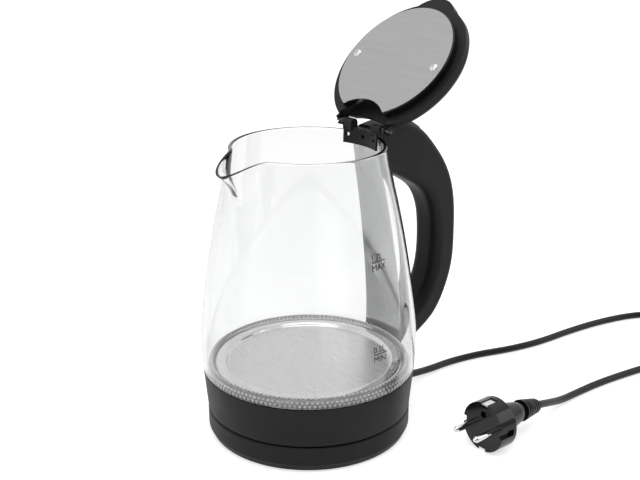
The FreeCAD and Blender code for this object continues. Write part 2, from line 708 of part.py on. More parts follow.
def glass_point(angle, part, inset):
    foot, rim = glass_foot.value, d.rim_height.value
    top = rim - d.spout_dip.value * lip(angle) ** 1.4
    height = foot + part * (top - foot)
    level = foot + part * (rim - foot)
    pull = max(0.0, (level - rim) / d.spout_depth.value + 1.0) ** 1.7
    radius = glass_radius(level) - inset + d.spout_reach.value * lip(angle) * pull
    return Vector(radius * math.cos(angle), radius * math.sin(angle), height)


def glass_jug():
    half = math.radians(d.spout_half_angle.value)
    near = [math.pi + half * step / 8 for step in range(-8, 9)]
    far = [math.radians(angle) for angle in range(0, 360, 12)]
    angles = sorted(near + [a for a in far if abs(a - math.pi) > half * 1.05]) + [2 * math.pi]
    parts = [0.0, 0.06, 0.14, 0.24, 0.36, 0.48, 0.6, 0.7, 0.78, 0.84, 0.88, 0.91, 0.94, 0.97, 1.0]
    faces, rims = [], []
    for inset in (0.0, d.glass_wall.value):
        surface = Part.BSplineSurface()
        surface.interpolate([[glass_point(a, part, inset) for part in parts] for a in angles])
        faces.append(surface.toShape())
        v_low, v_high = surface.bounds()[2:]
        rims.append([surface.vIso(v_low).toShape(), surface.vIso(v_high).toShape()])
    for foot_or_rim in (0, 1):
        faces.append(Part.makeRuledSurface(rims[0][foot_or_rim], rims[1][foot_or_rim]))
    shell = Part.Shell(faces)
    shell.sewShape()
    solid = Part.Solid(shell)
    solid.fix(0.001, 0.001, 0.001)
    if solid.Volume < 0:
        solid.reverse()
    return feature("glass_jug", solid)


glass_jug()
strip_low, strip_high = glass_foot.value + 1.0, d.rim_height.value - 2.5
strip_in = 0.15
strip_out = strip_in + d.strip_thick.value
backing_out = strip_out + 0.1 + d.backing_thick.value
feature("rear_strip", wall_band(strip_in, strip_out, strip_low, strip_high, d.strip_angle.value))
feature("strip_backing", wall_band(strip_out + 0.1, backing_out, strip_low, strip_high - 2.0, d.backing_angle.value))

# ---------------------------------------------------------------- handle

# Pairs of points on the back and on the inside of the grip, from the head down to the foot.
HANDLE_STATIONS = [
    ((52.0, 221.6), (50.0, 192.0)), ((66.0, 224.2), (64.0, 188.5)), ((82.0, 224.4), (79.0, 183.0)),
    ((98.0, 218.2), (93.0, 175.5)), ((114.0, 203.4), (104.5, 167.0)), ((125.6, 188.6), (111.5, 157.0)),
    ((134.0, 172.0), (115.6, 145.0)), ((138.6, 152.0), (117.2, 131.0)), ((139.8, 128.0), (117.4, 116.0)),
    ((138.4, 101.5), (115.6, 101.0)), ((131.6, 80.8), (110.0, 86.0)), ((119.0, 61.6), (100.0, 73.5)),
    ((103.0, 50.5), (86.0, 65.5)), ((93.0, 44.5), (77.0, 57.0)), ((87.4, 39.5), (70.0, 46.0)),
    ((85.2, 33.2), (68.0, 35.0))]
jug_side = backing_out + 0.1
drawn_rim = 218.2               # rim height that the stations and the steam route are drawn for
foot_end, head_start = 75.0, 183.0


def with_rim(height):
    """A height on the handle: the foot stays with the band, the head goes with the rim, the grip stretches."""
    share = min(1.0, max(0.0, (height - foot_end) / (head_start - foot_end)))
    return height + share * (d.rim_height.value - drawn_rim)


def station_points(back_inset, front_inset=None):
    """The stations moved in from the back, or in from the inside, along the line between the pair."""
    moved = []
    for back, front in HANDLE_STATIONS:
        outer, inner = Vector(back[0], 0, with_rim(back[1])), Vector(front[0], 0, with_rim(front[1]))
        across = inner - outer
        length = across.Length
        share = back_inset / length if front_inset is None else 1 - front_inset / length
        moved.append(tuple(outer + across * share))
    return moved


def handle_prism(outer_points, inner_points, width):
    outer, inner = spline(outer_points).toShape(), spline(list(reversed(inner_points))).toShape()
    foot = Part.makeLine(Vector(*outer_points[-1]), Vector(*inner_points[-1]))
    head = Part.makeLine(Vector(*inner_points[0]), Vector(*outer_points[0]))
    face = Part.Face(Part.Wire([outer, foot, inner, head]))
    face.translate(Vector(0, -width / 2, 0))
    return face.extrude(Vector(0, width, 0))


def rounded_handle():
    solid = handle_prism(station_points(0.0), station_points(0.0, 0.0), d.handle_width.value)
    back = [edge for edge in solid.Edges if edge.Length > 150 and edge.BoundBox.XMax > 130]
    front = [edge for edge in solid.Edges if edge.Length > 120 and edge.BoundBox.XMax < 130]
    solid = solid.makeFillet(d.handle_round_back.value, back)
    front = [edge for edge in solid.Edges
             if any(edge.BoundBox.isInside(other.CenterOfMass) or
                    (edge.CenterOfMass - other.CenterOfMass).Length < 0.5 for other in front)
             and edge.Length > 120 and edge.BoundBox.XMax < 130]
    return solid.makeFillet(d.handle_round_front.value, front)


def jug_clearance():
    """What the jug, strip and backing take up, revolved, with the collar above the rim."""
    foot, rim = glass_foot.value, d.rim_height.value
    heights = [foot + (rim - foot) * step / 14 for step in range(15)]
    wall = spline([(glass_radius(z) + jug_side, 0, z) for z in heights]).toShape()
    low, high = wall.Vertexes[0].Point, wall.Vertexes[-1].Point
    band_side = d.band_top_radius.value + 0.1
    corners = [high, Vector(high.x, 0, rim + 20), Vector(0, 0, rim + 20), Vector(0, 0, 0),
               Vector(d.band_foot_radius.value + 0.1, 0, 0), Vector(d.band_foot_radius.value + 0.1, 0, band_foot.value),
               Vector(band_side, 0, band_top.value), low]
    lines = [Part.makeLine(a, b) for a, b in zip(corners, corners[1:])]
    return Part.Face(Part.Wire([wall] + lines)).revolve(Vector(0, 0, 0), Z_AXIS, 360)


wall_inset = d.handle_wall.value
cover_end = band_top - 6.0      # the back cover stops above the foot screw's boss
cavity_width = d.handle_width.value - 2 * wall_inset
full_handle = feature("handle_solid", rounded_handle().cut(jug_clearance()))
cavity_blank = feature("handle_cavity", handle_prism(station_points(wall_inset)[:-2],
                                                     station_points(0, wall_inset)[:-2], cavity_width))
cavity = cut("handle_hollow", cavity_blank,
             [feature("handle_front_wall", jug_clearance().copy()),
              feature("handle_front_keep", wall_band(jug_side - 1.0, jug_side + wall_inset, strip_low, strip_high, 60.0))])
cover_side = cut("cover_region", feature("cover_region_blank", handle_prism(
    [tuple(Vector(*p) + (Vector(*p) - Vector(*q)).normalize() * 12)
     for p, q in zip(station_points(0.0), station_points(d.cover_depth.value))],
    station_points(d.cover_depth.value), 60.0)),
    [box("cover_limit", (60.0, -40.0, 0), (140.0, 40.0, cover_end))])

button_low = d.rim_height - 10.2
button_well = box("button_well", (d.button_x - d.button_gap, -d.button_width / 2 - d.button_gap,
                                  button_low - d.button_travel - d.button_gap),
                  (d.button_x + d.button_length + d.button_gap, d.button_width / 2 + d.button_gap, d.rim_height + 21.8))
spring_x = d.button_x + 7.0
shelf_top = button_low - 9.6
spring_shelf = box("spring_shelf", (spring_x - 5.0, -d.handle_width / 2 + 1.0, shelf_top - 2.4),
                   (spring_x + 5.0, d.handle_width / 2 - 1.0, shelf_top))
latch_low = d.rim_height - 4.6
latch_start = d.rim_radius + jug_side + wall_inset + 0.9
latch_end = d.button_x - 3.2
rail_top = d.rim_height - 1.4
head_screw_x = d.rim_radius + 10.0
tongue_low = d.rim_height + 0.3
rails = [box(f"latch_rail{n}", (latch_start + 1.0, low, latch_low - 4.0), (latch_end - 2.0, low + 8.2, rail_top))
         for n, low in enumerate((3.3, -11.5))]
posts = [cylinder(f"head_post{n}", 3.0, tongue_low - rail_top + 2.0, (head_screw_x, y, rail_top - 2.0))
         for n, y in enumerate((-6.8, 6.8))]
tube_seat = box("tube_seat", (head_screw_x - 3.0, -11.5, latch_low - 11.0), (head_screw_x + 6.0, 11.5, latch_low - 8.0))
thermostat_seat = box("thermostat_seat", (85.0, -11.5, 45.0), (93.5, 11.5, 49.4))

tongue_slot = box("tongue_slot", (40.0, -10.4, tongue_low), (head_screw_x + 4.5, 10.4, tongue_low + 3.0))
handle_walls = cut("handle_walls", full_handle, [cavity])
cut("handle_cover", common("handle_cover_blank", [handle_walls, cover_side]), [button_well, tongue_slot])
cut("handle_shell",
    fuse("handle_shell_blank", [handle_walls, spring_shelf, tube_seat, thermostat_seat] + rails + posts),
    [cover_side, button_well, tongue_slot,
     cylinder("foot_pilot", d.screw_radius + d.running_gap, 12.0,
              (d.band_foot_radius, 0, foot_screw_height), "x"),
     cylinder("tube_seat_hole", 4.1, 6.0, (head_screw_x + 2.0, 0, latch_low - 13.0))]
    + [cylinder(f"head_pilot{n}", d.screw_radius + d.running_gap, 9.0, (head_screw_x, y, tongue_low - 8.0))
       for n, y in enumerate((-6.8, 6.8))])


def turned_screw(label, head_radius, start, head_thick, length, at, along):
    """A screw on its side, head first."""
    x, y, z = at
    return fuse(label, [cylinder(label + "_head", head_radius, head_thick, (x + start, y, z), along),
                        cylinder(label + "_shank", d.screw_radius, length, (x + start, y, z), along)])


group("handle_screws", [
    turned_screw("foot_screw", 2.0, -d.band_wall - 1.5, 1.3, 13.0,
                 (d.band_foot_radius, 0, foot_screw_height), "x")]
    + [fuse(f"head_screw{n}", [
        cylinder(f"head_screw_head{n}", 2.2, 1.0, (head_screw_x, y, tongue_low + 1.4)),
        cylinder(f"head_screw_shank{n}", d.screw_radius, 9.0, (head_screw_x, y, tongue_low - 7.4))])
       for n, y in enumerate((-6.8, 6.8))])

STEAM_ROUTE = [
    (67.5, 0.0, 205.6), (69.0, 0.0, 196.5), (90.0, 0.0, 187.0), (110.0, 0.0, 174.5), (122.0, 0.0, 157.0),
    (128.0, 0.0, 138.0), (128.6, 0.0, 115.0), (125.0, 0.0, 92.0), (113.0, 0.0, 71.0), (96.0, 0.0, 56.9)]
bent_tube("steam_tube", [(x, y, with_rim(z)) for x, y, z in STEAM_ROUTE], 3.5, 2.6)
box("steam_thermostat", (87.0, -7.0, 49.6), (94.6, 7.0, 57.0))

# ---------------------------------------------------------------- collar over the rim, and the hinge

collar_outer = d.rim_radius.value + jug_side - 0.1
collar_angle = 2 * math.degrees(math.asin(d.collar_half_width.value / collar_outer))
rim_inner_radius = d.rim_radius.value - d.glass_wall.value - d.slip_gap.value
deck_low = tongue_low.value
deck_top = deck_low + d.collar_top_thick.value


def rim_collar():
    """A saddle over the glass rim: a skirt inside the jug, a deck, and two lugs for the hinge pins."""
    skirt_low = d.rim_height.value - d.collar_height.value + 1.8
    inner = rim_inner_radius - d.collar_wall.value
    corners = [(inner, deck_top), (collar_outer, deck_top), (collar_outer, deck_low), (rim_inner_radius, deck_low),
               (rim_inner_radius - 0.6, skirt_low), (inner - 0.6, skirt_low)]
    points = [Vector(radius, 0, height) for radius, height in corners]
    face = Part.Face(Part.makePolygon(points + points[:1]))
    face.rotate(Vector(0, 0, 0), Z_AXIS, -collar_angle / 2)
    return face.revolve(Vector(0, 0, 0), Z_AXIS, collar_angle)


lug_radius = 3.2
lugs = [cylinder(f"hinge_lug{n}", lug_radius, 9.5, (d.hinge_x, low, d.hinge_height), "y")
        for n, low in enumerate((10.6, -20.1))]
lug_feet = [box(f"hinge_lug_foot{n}", (d.hinge_x - lug_radius, low, deck_low + 0.4),
                (d.hinge_x + lug_radius, low + 9.5, d.hinge_height))
            for n, low in enumerate((10.6, -20.1))]
tongue = box("collar_tongue", (d.rim_radius - 1.0, -9.9, tongue_low), (head_screw_x + 4.0, 9.9, tongue_low + 2.2))
cut("rim_collar",
    fuse("rim_collar_solid", [feature("rim_saddle", rim_collar()), tongue] + lugs + lug_feet),
    [box(f"steam_window{n}", (44.0, y - 1.5, d.rim_height - 4.0), (d.rim_radius - d.glass_wall, y + 1.5, d.rim_height - 1.4))
     for n, y in enumerate((-14.5, 0.0, 14.5))]
    + [cylinder(f"hinge_pin_seat{n}", d.hinge_pin_radius + 0.02, 12.0, (d.hinge_x, low, d.hinge_height), "y")
       for n, low in enumerate((12.0, -24.0))]
    + [cylinder(f"tongue_hole{n}", d.screw_radius + 0.2, 6.0, (head_screw_x, y, tongue_low - 2.0))
       for n, y in enumerate((-6.8, 6.8))]
    + [cylinder(f"tongue_sink{n}", 2.4, 3.0, (head_screw_x, y, tongue_low + 1.4))
       for n, y in enumerate((-6.8, 6.8))])
pin_end = d.hinge_eye_start + d.hinge_eye_width + 0.4
group("hinge_pins", [
    cylinder("hinge_pin_left", d.hinge_pin_radius, pin_end - 12.0, (d.hinge_x, 12.0, d.hinge_height), "y"),
    cylinder("hinge_pin_right", d.hinge_pin_radius, pin_end - 12.0, (d.hinge_x, -pin_end, d.hinge_height), "y")])


def coil(pitch, height, radius, wire):
    """A helical spring that stands on the origin, along Z."""
    path = Part.Wire(Part.makeLongHelix(pitch, height, radius).Edges)
    start = path.Edges[0].valueAt(path.Edges[0].FirstParameter)
    heading = path.Edges[0].tangentAt(path.Edges[0].FirstParameter)
    return path.makePipeShell([Part.Wire([Part.makeCircle(wire, start, heading)])], True, True)


def lid_springs():
    springs = []
    for low in (20.8, -23.8):
        spring = coil(0.9, 2.4, 1.9, 0.35)
        spring.rotate(Vector(0, 0, 0), X_AXIS, -90)
        spring.translate(Vector(d.hinge_x.value, low + 0.35, d.hinge_height.value))
        springs.append(spring)
    return feature("lid_springs", Part.makeCompound(springs))


lid_springs()

# ---------------------------------------------------------------- lid, drawn shut and then swung open

lid_plate_low = d.lid_plate_height
lid_plate_top = lid_plate_low + 0.8
lid_flange = lid_plate_low + d.lid_flange_drop
lid_top = lid_plate_low + d.lid_depth
notch_centre = d.lid_notch_reach + d.lid_notch_radius
cap_notch_radius = 60.0
cap_notch_reach = 44.4
notch_half = d.hinge_eye_start - 0.2


def swing_open(thing):
    hinge = Vector(d.hinge_x.value, 0, d.hinge_height.value)
    thing.Placement = FreeCAD.Placement(Vector(0, 0, 0), FreeCAD.Rotation(Y_AXIS, d.lid_open_angle.value), hinge)
    return thing


screw_spots = [(0, d.lid_screw_circle), (0, -d.lid_screw_circle)]
swing_open(cut("lid_steel_plate",
               cylinder("steel_plate_blank", d.lid_plate_radius, 0.8, (0, 0, lid_plate_low)),
               [cylinder("steel_plate_notch", d.lid_notch_radius, 4.0, (notch_centre, 0, lid_plate_low - 1.0))]
               + [cylinder(f"steel_plate_hole{n}", d.screw_radius + 0.3, 4.0, (x, y, lid_plate_low - 1.0))
                  for n, (x, y) in enumerate(screw_spots)]))
plug_height = lid_flange - lid_plate_top
swing_open(cut("lid_plug_ring",
               cut("plug_ring_outer", cylinder("plug_ring_blank", d.lid_plug_radius, plug_height, (0, 0, lid_plate_top)),
                   [cylinder("plug_ring_notch", d.lid_notch_radius, 12.0, (notch_centre, 0, lid_plate_low))]),
               [cut("plug_ring_inner",
                    cylinder("plug_ring_bore", d.lid_plug_radius - d.lid_plug_wall, 12.0, (0, 0, lid_plate_low)),
                    [cylinder("plug_ring_wall", d.lid_notch_radius + d.lid_plug_wall, 14.0,
                              (notch_centre, 0, lid_plate_low - 1.0))])]))
cap_inner = d.lid_plug_radius - d.lid_plug_wall
cap_solid = fuse("lid_cap_solid", [
    revolved("lid_cap_blank", [
        (0, lid_top), (d.lid_radius - 5.0, lid_top), (d.lid_radius - 1.6, lid_top - 1.4),
        (d.lid_radius, lid_top - 4.0), (d.lid_radius, lid_flange), (cap_inner, lid_flange),
        (cap_inner, lid_top - d.lid_wall), (0, lid_top - d.lid_wall)]),
    cut("lid_tab", cylinder("lid_tab_blank", 24.0, lid_top - lid_flange - 1.6, (24.0 - d.lid_tab_reach, 0, lid_flange)),
        [cylinder("lid_tab_limit", d.lid_radius - 2.0, 20.0, (0, 0, lid_flange - 2.0))])]
    + [cylinder(f"hinge_eye{n}", d.hinge_eye_radius, d.hinge_eye_width, (d.hinge_x, low, d.hinge_height), "y")
       for n, low in enumerate((d.hinge_eye_start, -d.hinge_eye_start - d.hinge_eye_width))]
    + [box(f"hinge_arm{n}", (d.hinge_x - 9.0, low, d.hinge_height - 3.0),
           (d.hinge_x, low + d.hinge_eye_width, d.hinge_height + d.hinge_eye_radius))
       for n, low in enumerate((d.hinge_eye_start, -d.hinge_eye_start - d.hinge_eye_width))]
    + [cylinder(f"lid_boss{n}", 3.8, lid_top - lid_plate_top - 1.0, (x, y, lid_plate_top))
       for n, (x, y) in enumerate(screw_spots)])
notch_wall = common("cap_notch_wall", [
    cylinder("notch_wall_arc", d.lid_notch_radius + d.lid_plug_wall, lid_top - lid_flange, (notch_centre, 0, lid_flange)),
    cylinder("notch_wall_limit", d.lid_radius - 3.0, 30.0, (0, 0, lid_flange - 5.0))])
swing_open(cut("lid_cap", fuse("lid_cap_whole", [cap_solid, notch_wall]), [
    common("cap_notch", [
        cylinder("cap_notch_arc", cap_notch_radius, 30.0, (cap_notch_reach + cap_notch_radius, 0, lid_plate_low)),
        box("cap_notch_width", (40.0, -notch_half + 3.0, lid_plate_low), (70.0, notch_half - 3.0, lid_top + 5.0))]),
    box("spring_room", (46.4, -notch_half, lid_plate_low), (70.0, notch_half, lid_top + 5.0)),
    cylinder("notch_hollow", d.lid_notch_radius, lid_top - lid_flange - d.lid_wall, (notch_centre, 0, lid_flange)),
    cylinder("hinge_pin_bore", d.hinge_pin_radius + d.running_gap, 80.0, (d.hinge_x, -40.0, d.hinge_height), "y")]
    + [cylinder(f"lid_boss_pilot{n}", d.screw_radius + d.running_gap, 9.0, (x, y, lid_plate_top))
       for n, (x, y) in enumerate(screw_spots)]))
swing_open(screws("lid_screws", screw_spots, lid_plate_low - 1.4, 1.4, lid_plate_top + 7.5, 3.2))

# ---------------------------------------------------------------- lid button, latch and their spring

button_end = d.button_x + d.button_length
padded("lid_button", [
    (d.button_x, button_low), (button_end, button_low), (button_end, button_low + 7.6 + d.button_proud),
    (button_end - 7.0, button_low + 12.2 + d.button_proud), (button_end - 14.0, button_low + 15.2 + d.button_proud),
    (d.button_x, button_low + 16.2 + d.button_proud)], d.button_width)
button_spring = feature("button_spring", coil(1.9, 8.2, 3.0, 0.45))
place(button_spring, (spring_x, 0, shelf_top + 0.6))
box("lid_latch", (latch_start, -3.0, latch_low), (latch_end, 3.0, latch_low + 3.0))

# ---------------------------------------------------------------- switch

lever_x, lever_z = d.lever_pivot_x, d.lever_pivot_height
cut("switch_lever",
    padded("switch_lever_blank", [
        (lever_x - 3.5, lever_z - 3.4), (lever_x + 8.0, lever_z - 3.0), (lever_x + d.lever_reach, lever_z - 2.2),
        (lever_x + d.lever_reach, lever_z + 0.8), (lever_x + 12.0, lever_z + 3.4), (lever_x + 2.0, lever_z + 3.4),
        (lever_x + 1.0, lever_z + 5.6), (lever_x - 2.4, lever_z + 5.6), (lever_x - 3.5, lever_z + 3.0)],
        d.lever_width),
    [cylinder("lever_bore", d.lever_pin_radius + d.running_gap, 60.0, (lever_x, -30.0, lever_z), "y")])
cylinder("switch_pivot_pin", d.lever_pin_radius, d.lever_width + 4.8 + 2 * d.slip_gap,
         (lever_x, -d.lever_width / 2 - 2.4 - d.slip_gap, lever_z), "y")
rod_start = d.control_radius - 3.0
cylinder("trip_rod", d.rod_radius, lever_x - 3.5 - d.slip_gap - rod_start, (rod_start, 0, rod_height), "x")

doc.recompute()

# ---------------------------------------------------------------- write the parts

NODES = [
    "power_base_shell", "power_base_plate", "base_feet", "base_plate_screws", "base_connector_housing",
    "base_contacts", "cord_strain_relief", "cord_clamp", "cord_clamp_screws", "base_wires", "cord_run",
    "plug_body", "plug_pins", "plug_earth_clips", "plug_strain_relief",
    "kettle_connector", "connector_pins",
    "jug_base_band", "jug_bottom_cover", "bottom_cover_screws", "heating_plate", "seal_ring",
    "plate_clamp_ring", "clamp_ring_screws", "heat_spreader", "heating_element", "control_body",
    "control_screws", "bimetal_discs", "element_leads", "glass_jug", "rear_strip", "strip_backing",
    "handle_shell", "handle_cover", "handle_screws", "steam_tube", "steam_thermostat", "rim_collar",
    "hinge_pins", "lid_springs", "switch_pivot_pin",
    "lid_cap", "lid_plug_ring", "lid_steel_plate", "lid_screws",
    "lid_button", "button_spring", "lid_latch", "switch_lever", "trip_rod"]


def write_parts():
    failed = [thing.Label for thing in doc.Objects if {"Invalid", "Error"} & set(thing.State)]
    if failed:
        raise RuntimeError(f"these did not recompute: {failed}")
    os.makedirs("parts", exist_ok=True)
    for node in NODES:
        shape = doc.getObjectsByLabel(node)[0].Shape
        if shape.isNull() or not shape.isValid() or not shape.Solids:
            raise RuntimeError(f"{node} has no valid solid")
        shape.exportStep(f"parts/{node}.step")
        print(f"{node}: {len(shape.Solids)} solid(s), {shape.Volume / 1000:.2f} cm3")


write_parts()
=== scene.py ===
import json
import math

import bmesh
import bpy
import numpy as np
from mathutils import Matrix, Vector


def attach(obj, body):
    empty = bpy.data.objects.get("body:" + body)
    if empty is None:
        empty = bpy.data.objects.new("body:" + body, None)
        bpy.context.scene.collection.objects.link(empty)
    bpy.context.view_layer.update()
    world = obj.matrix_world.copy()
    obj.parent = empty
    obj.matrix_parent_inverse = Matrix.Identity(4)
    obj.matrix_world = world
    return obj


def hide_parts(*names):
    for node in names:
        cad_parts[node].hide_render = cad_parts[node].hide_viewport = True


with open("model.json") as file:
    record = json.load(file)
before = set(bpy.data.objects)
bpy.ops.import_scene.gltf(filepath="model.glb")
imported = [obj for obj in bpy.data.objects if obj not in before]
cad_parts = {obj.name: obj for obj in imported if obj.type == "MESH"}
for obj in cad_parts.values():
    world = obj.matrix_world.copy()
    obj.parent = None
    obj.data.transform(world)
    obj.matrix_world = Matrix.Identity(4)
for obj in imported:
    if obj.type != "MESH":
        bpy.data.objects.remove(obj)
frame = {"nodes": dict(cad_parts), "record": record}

# Electric kettle on its power base, lid standing open. Lengths in the dictionaries are millimetres.
for leftover in ("Cube", "Light", "Camera"):
    if leftover in bpy.data.objects:
        bpy.data.objects.remove(bpy.data.objects[leftover])
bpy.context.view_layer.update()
scene = bpy.context.scene
nodes = frame["nodes"]
mm = 0.001


def newPiece(name, mesh, material=None):
    if material is not None:
        mesh.materials.clear()
        mesh.materials.append(material)
    piece = bpy.data.objects.new(name, mesh)
    scene.collection.objects.link(piece)
    return piece


def meshFromGrid(name, rows, closedAround=True, closedAlong=False):
    # rows of points, each row one ring
    mesh = bpy.data.meshes.new(name)
    count = len(rows[0])
    verts = [tuple(p) for row in rows for p in row]
    faces = []
    rowPairs = len(rows) if closedAlong else len(rows) - 1
    for r in range(rowPairs):
        low, high = r * count, ((r + 1) % len(rows)) * count
        for c in range(count if closedAround else count - 1):
            n = (c + 1) % count
            faces.append((low + c, low + n, high + n, high + c))
    mesh.from_pydata(verts, [], faces)
    return tidyMesh(mesh)


def tidyMesh(mesh, smooth=True):
    # doubles merged first, then every face turned outwards
    work = bmesh.new()
    work.from_mesh(mesh)
    bmesh.ops.remove_doubles(work, verts=work.verts, dist=1e-7)
    bmesh.ops.recalc_face_normals(work, faces=work.faces)
    for face in work.faces:
        face.smooth = smooth
    work.to_mesh(mesh)
    work.free()
    return mesh


def sharpen(mesh, degrees):
    work = bmesh.new()
    work.from_mesh(mesh)
    for edge in work.edges:
        edge.smooth = len(edge.link_faces) == 2 and edge.calc_face_angle(0) < math.radians(degrees)
    work.to_mesh(mesh)
    work.free()
    return mesh


# camera

cameraSet = {"lens": 60.24, "place": (-453.7, -574.5, 400.0), "aim": (0.5943, 0.7349, -0.3267)}


def makeCamera():
    data = bpy.data.cameras.new("kettleCamera")
    data.lens = cameraSet["lens"]
    data.sensor_width = 36.0
    data.clip_start = 0.01
    camera = bpy.data.objects.new("kettleCamera", data)
    camera.location = Vector(cameraSet["place"]) * mm
    camera.rotation_euler = Vector(cameraSet["aim"]).to_track_quat("-Z", "Y").to_euler()
    scene.collection.objects.link(camera)
    scene.camera = camera
    return camera


makeCamera()
scene.view_settings.view_transform = "Standard"
print("camera placed")


# shader groups

def newShaderGroup(name, inputs, outputs):
    tree = bpy.data.node_groups.new(name, "ShaderNodeTree")
    for label, kind, value in inputs:
        socket = tree.interface.new_socket(label, in_out="INPUT", socket_type=kind)
        socket.default_value = value
    for label, kind in outputs:
        tree.interface.new_socket(label, in_out="OUTPUT", socket_type=kind)
    return tree, tree.nodes.new("NodeGroupInput"), tree.nodes.new("NodeGroupOutput")


def buildFineGrain():
    # moulded grain: small bumps over slow unevenness, and a speckle for roughness
    tree, come, go = newShaderGroup(
        "fineGrain",
        [("Grain Scale", "NodeSocketFloat", 1800.0), ("Low Rough", "NodeSocketFloat", 0.4),
         ("High Rough", "NodeSocketFloat", 0.5)],
        [("Height", "NodeSocketFloat"), ("Roughness", "NodeSocketFloat")])
    link = tree.links.new
    place = tree.nodes.new("ShaderNodeTexCoord")
    grain = tree.nodes.new("ShaderNodeTexNoise")
    grain.inputs["Detail"].default_value = 3.0
    link(place.outputs["Object"], grain.inputs["Vector"])
    link(come.outputs["Grain Scale"], grain.inputs["Scale"])
    slow = tree.nodes.new("ShaderNodeTexNoise")
    slow.inputs["Scale"].default_value = 45.0
    slow.inputs["Detail"].default_value = 2.0
    link(place.outputs["Object"], slow.inputs["Vector"])
    spread = tree.nodes.new("ShaderNodeMapRange")
    link(slow.outputs["Fac"], spread.inputs["Value"])
    spread.inputs["From Min"].default_value = 0.3
    spread.inputs["From Max"].default_value = 0.7
    link(come.outputs["Low Rough"], spread.inputs["To Min"])
    link(come.outputs["High Rough"], spread.inputs["To Max"])
    link(grain.outputs["Fac"], go.inputs["Height"])
    link(spread.outputs["Result"], go.inputs["Roughness"])
    return tree


def buildBrushing():
    # brushed lines: noise drawn out along one direction
    tree, come, go = newShaderGroup(
        "brushedLines",
        [("Draw", "NodeSocketVector", (1400.0, 14.0, 1400.0)), ("Low Rough", "NodeSocketFloat", 0.25),
         ("High Rough", "NodeSocketFloat", 0.4), ("Light Tone", "NodeSocketColor", (0.7, 0.7, 0.7, 1.0)),
         ("Dark Tone", "NodeSocketColor", (0.6, 0.6, 0.6, 1.0))],
        [("Height", "NodeSocketFloat"), ("Roughness", "NodeSocketFloat"), ("Color", "NodeSocketColor")])
    link = tree.links.new
    place = tree.nodes.new("ShaderNodeTexCoord")
    drawn = tree.nodes.new("ShaderNodeVectorMath")
    drawn.operation = "MULTIPLY"
    link(place.outputs["Object"], drawn.inputs[0])
    link(come.outputs["Draw"], drawn.inputs[1])
    lines = tree.nodes.new("ShaderNodeTexNoise")
    lines.inputs["Scale"].default_value = 1.0
    lines.inputs["Detail"].default_value = 4.0
    link(drawn.outputs["Vector"], lines.inputs["Vector"])
    spread = tree.nodes.new("ShaderNodeMapRange")
    spread.inputs["From Min"].default_value = 0.3
    spread.inputs["From Max"].default_value = 0.7
    link(lines.outputs["Fac"], spread.inputs["Value"])
    link(come.outputs["Low Rough"], spread.inputs["To Min"])
    link(come.outputs["High Rough"], spread.inputs["To Max"])
    tone = tree.nodes.new("ShaderNodeMix")
    tone.data_type = "RGBA"
    link(lines.outputs["Fac"], tone.inputs["Factor"])
    link(come.outputs["Dark Tone"], tone.inputs[6])
    link(come.outputs["Light Tone"], tone.inputs[7])
    link(lines.outputs["Fac"], go.inputs["Height"])
    link(spread.outputs["Result"], go.inputs["Roughness"])
    link(tone.outputs[2], go.inputs["Color"])
    return tree


def buildTwoTone():
    # slow drift between two close tones, so that no surface is one flat colour
    tree, come, go = newShaderGroup(
        "twoTone",
        [("Scale", "NodeSocketFloat", 60.0), ("Tone A", "NodeSocketColor", (0.02, 0.02, 0.02, 1.0)),
         ("Tone B", "NodeSocketColor", (0.03, 0.03, 0.03, 1.0))],
        [("Color", "NodeSocketColor")])
    link = tree.links.new
    place = tree.nodes.new("ShaderNodeTexCoord")
    drift = tree.nodes.new("ShaderNodeTexNoise")
    drift.inputs["Detail"].default_value = 4.0
    link(place.outputs["Object"], drift.inputs["Vector"])
    link(come.outputs["Scale"], drift.inputs["Scale"])
    tone = tree.nodes.new("ShaderNodeMix")
    tone.data_type = "RGBA"
    link(drift.outputs["Fac"], tone.inputs["Factor"])
    link(come.outputs["Tone A"], tone.inputs[6])
    link(come.outputs["Tone B"], tone.inputs[7])
    link(tone.outputs[2], go.inputs["Color"])
    return tree


shaderGroups = {"fineGrain": buildFineGrain(), "brushedLines": buildBrushing(), "twoTone": buildTwoTone()}


def placeGroup(tree, name, values):
    group = tree.nodes.new("ShaderNodeGroup")
    group.node_tree = shaderGroups[name]
    for label, value in values.items():
        group.inputs[label].default_value = value
    return group


def startMaterial(name, settings):
    material = bpy.data.materials.new(name)
    material.use_nodes = True
    shader = material.node_tree.nodes["Principled BSDF"]
    for label, value in settings.items():
        shader.inputs[label].default_value = value
    return material, material.node_tree, shader


def addBump(tree, shader, height, strength, distance):
    bump = tree.nodes.new("ShaderNodeBump")
    bump.inputs["Strength"].default_value = strength
    bump.inputs["Distance"].default_value = distance
    tree.links.new(height, bump.inputs["Height"])
    tree.links.new(bump.outputs["Normal"], shader.inputs["Normal"])
    return bump


def grey(level, tint=(1.0, 1.0, 1.0)):
    return (level * tint[0], level * tint[1], level * tint[2], 1.0)


def mouldedPlastic(name, toneA, toneB, lowRough, highRough, grainScale=1800.0, bump=0.12, **settings):
    material, tree, shader = startMaterial(name, settings)
    tone = placeGroup(tree, "twoTone", {"Scale": 55.0, "Tone A": toneA, "Tone B": toneB})
    grain = placeGroup(tree, "fineGrain", {"Grain Scale": grainScale, "Low Rough": lowRough, "High Rough": highRough})
    tree.links.new(tone.outputs["Color"], shader.inputs["Base Color"])
    tree.links.new(grain.outputs["Roughness"], shader.inputs["Roughness"])
    addBump(tree, shader, grain.outputs["Height"], bump, 0.0002)
    return material


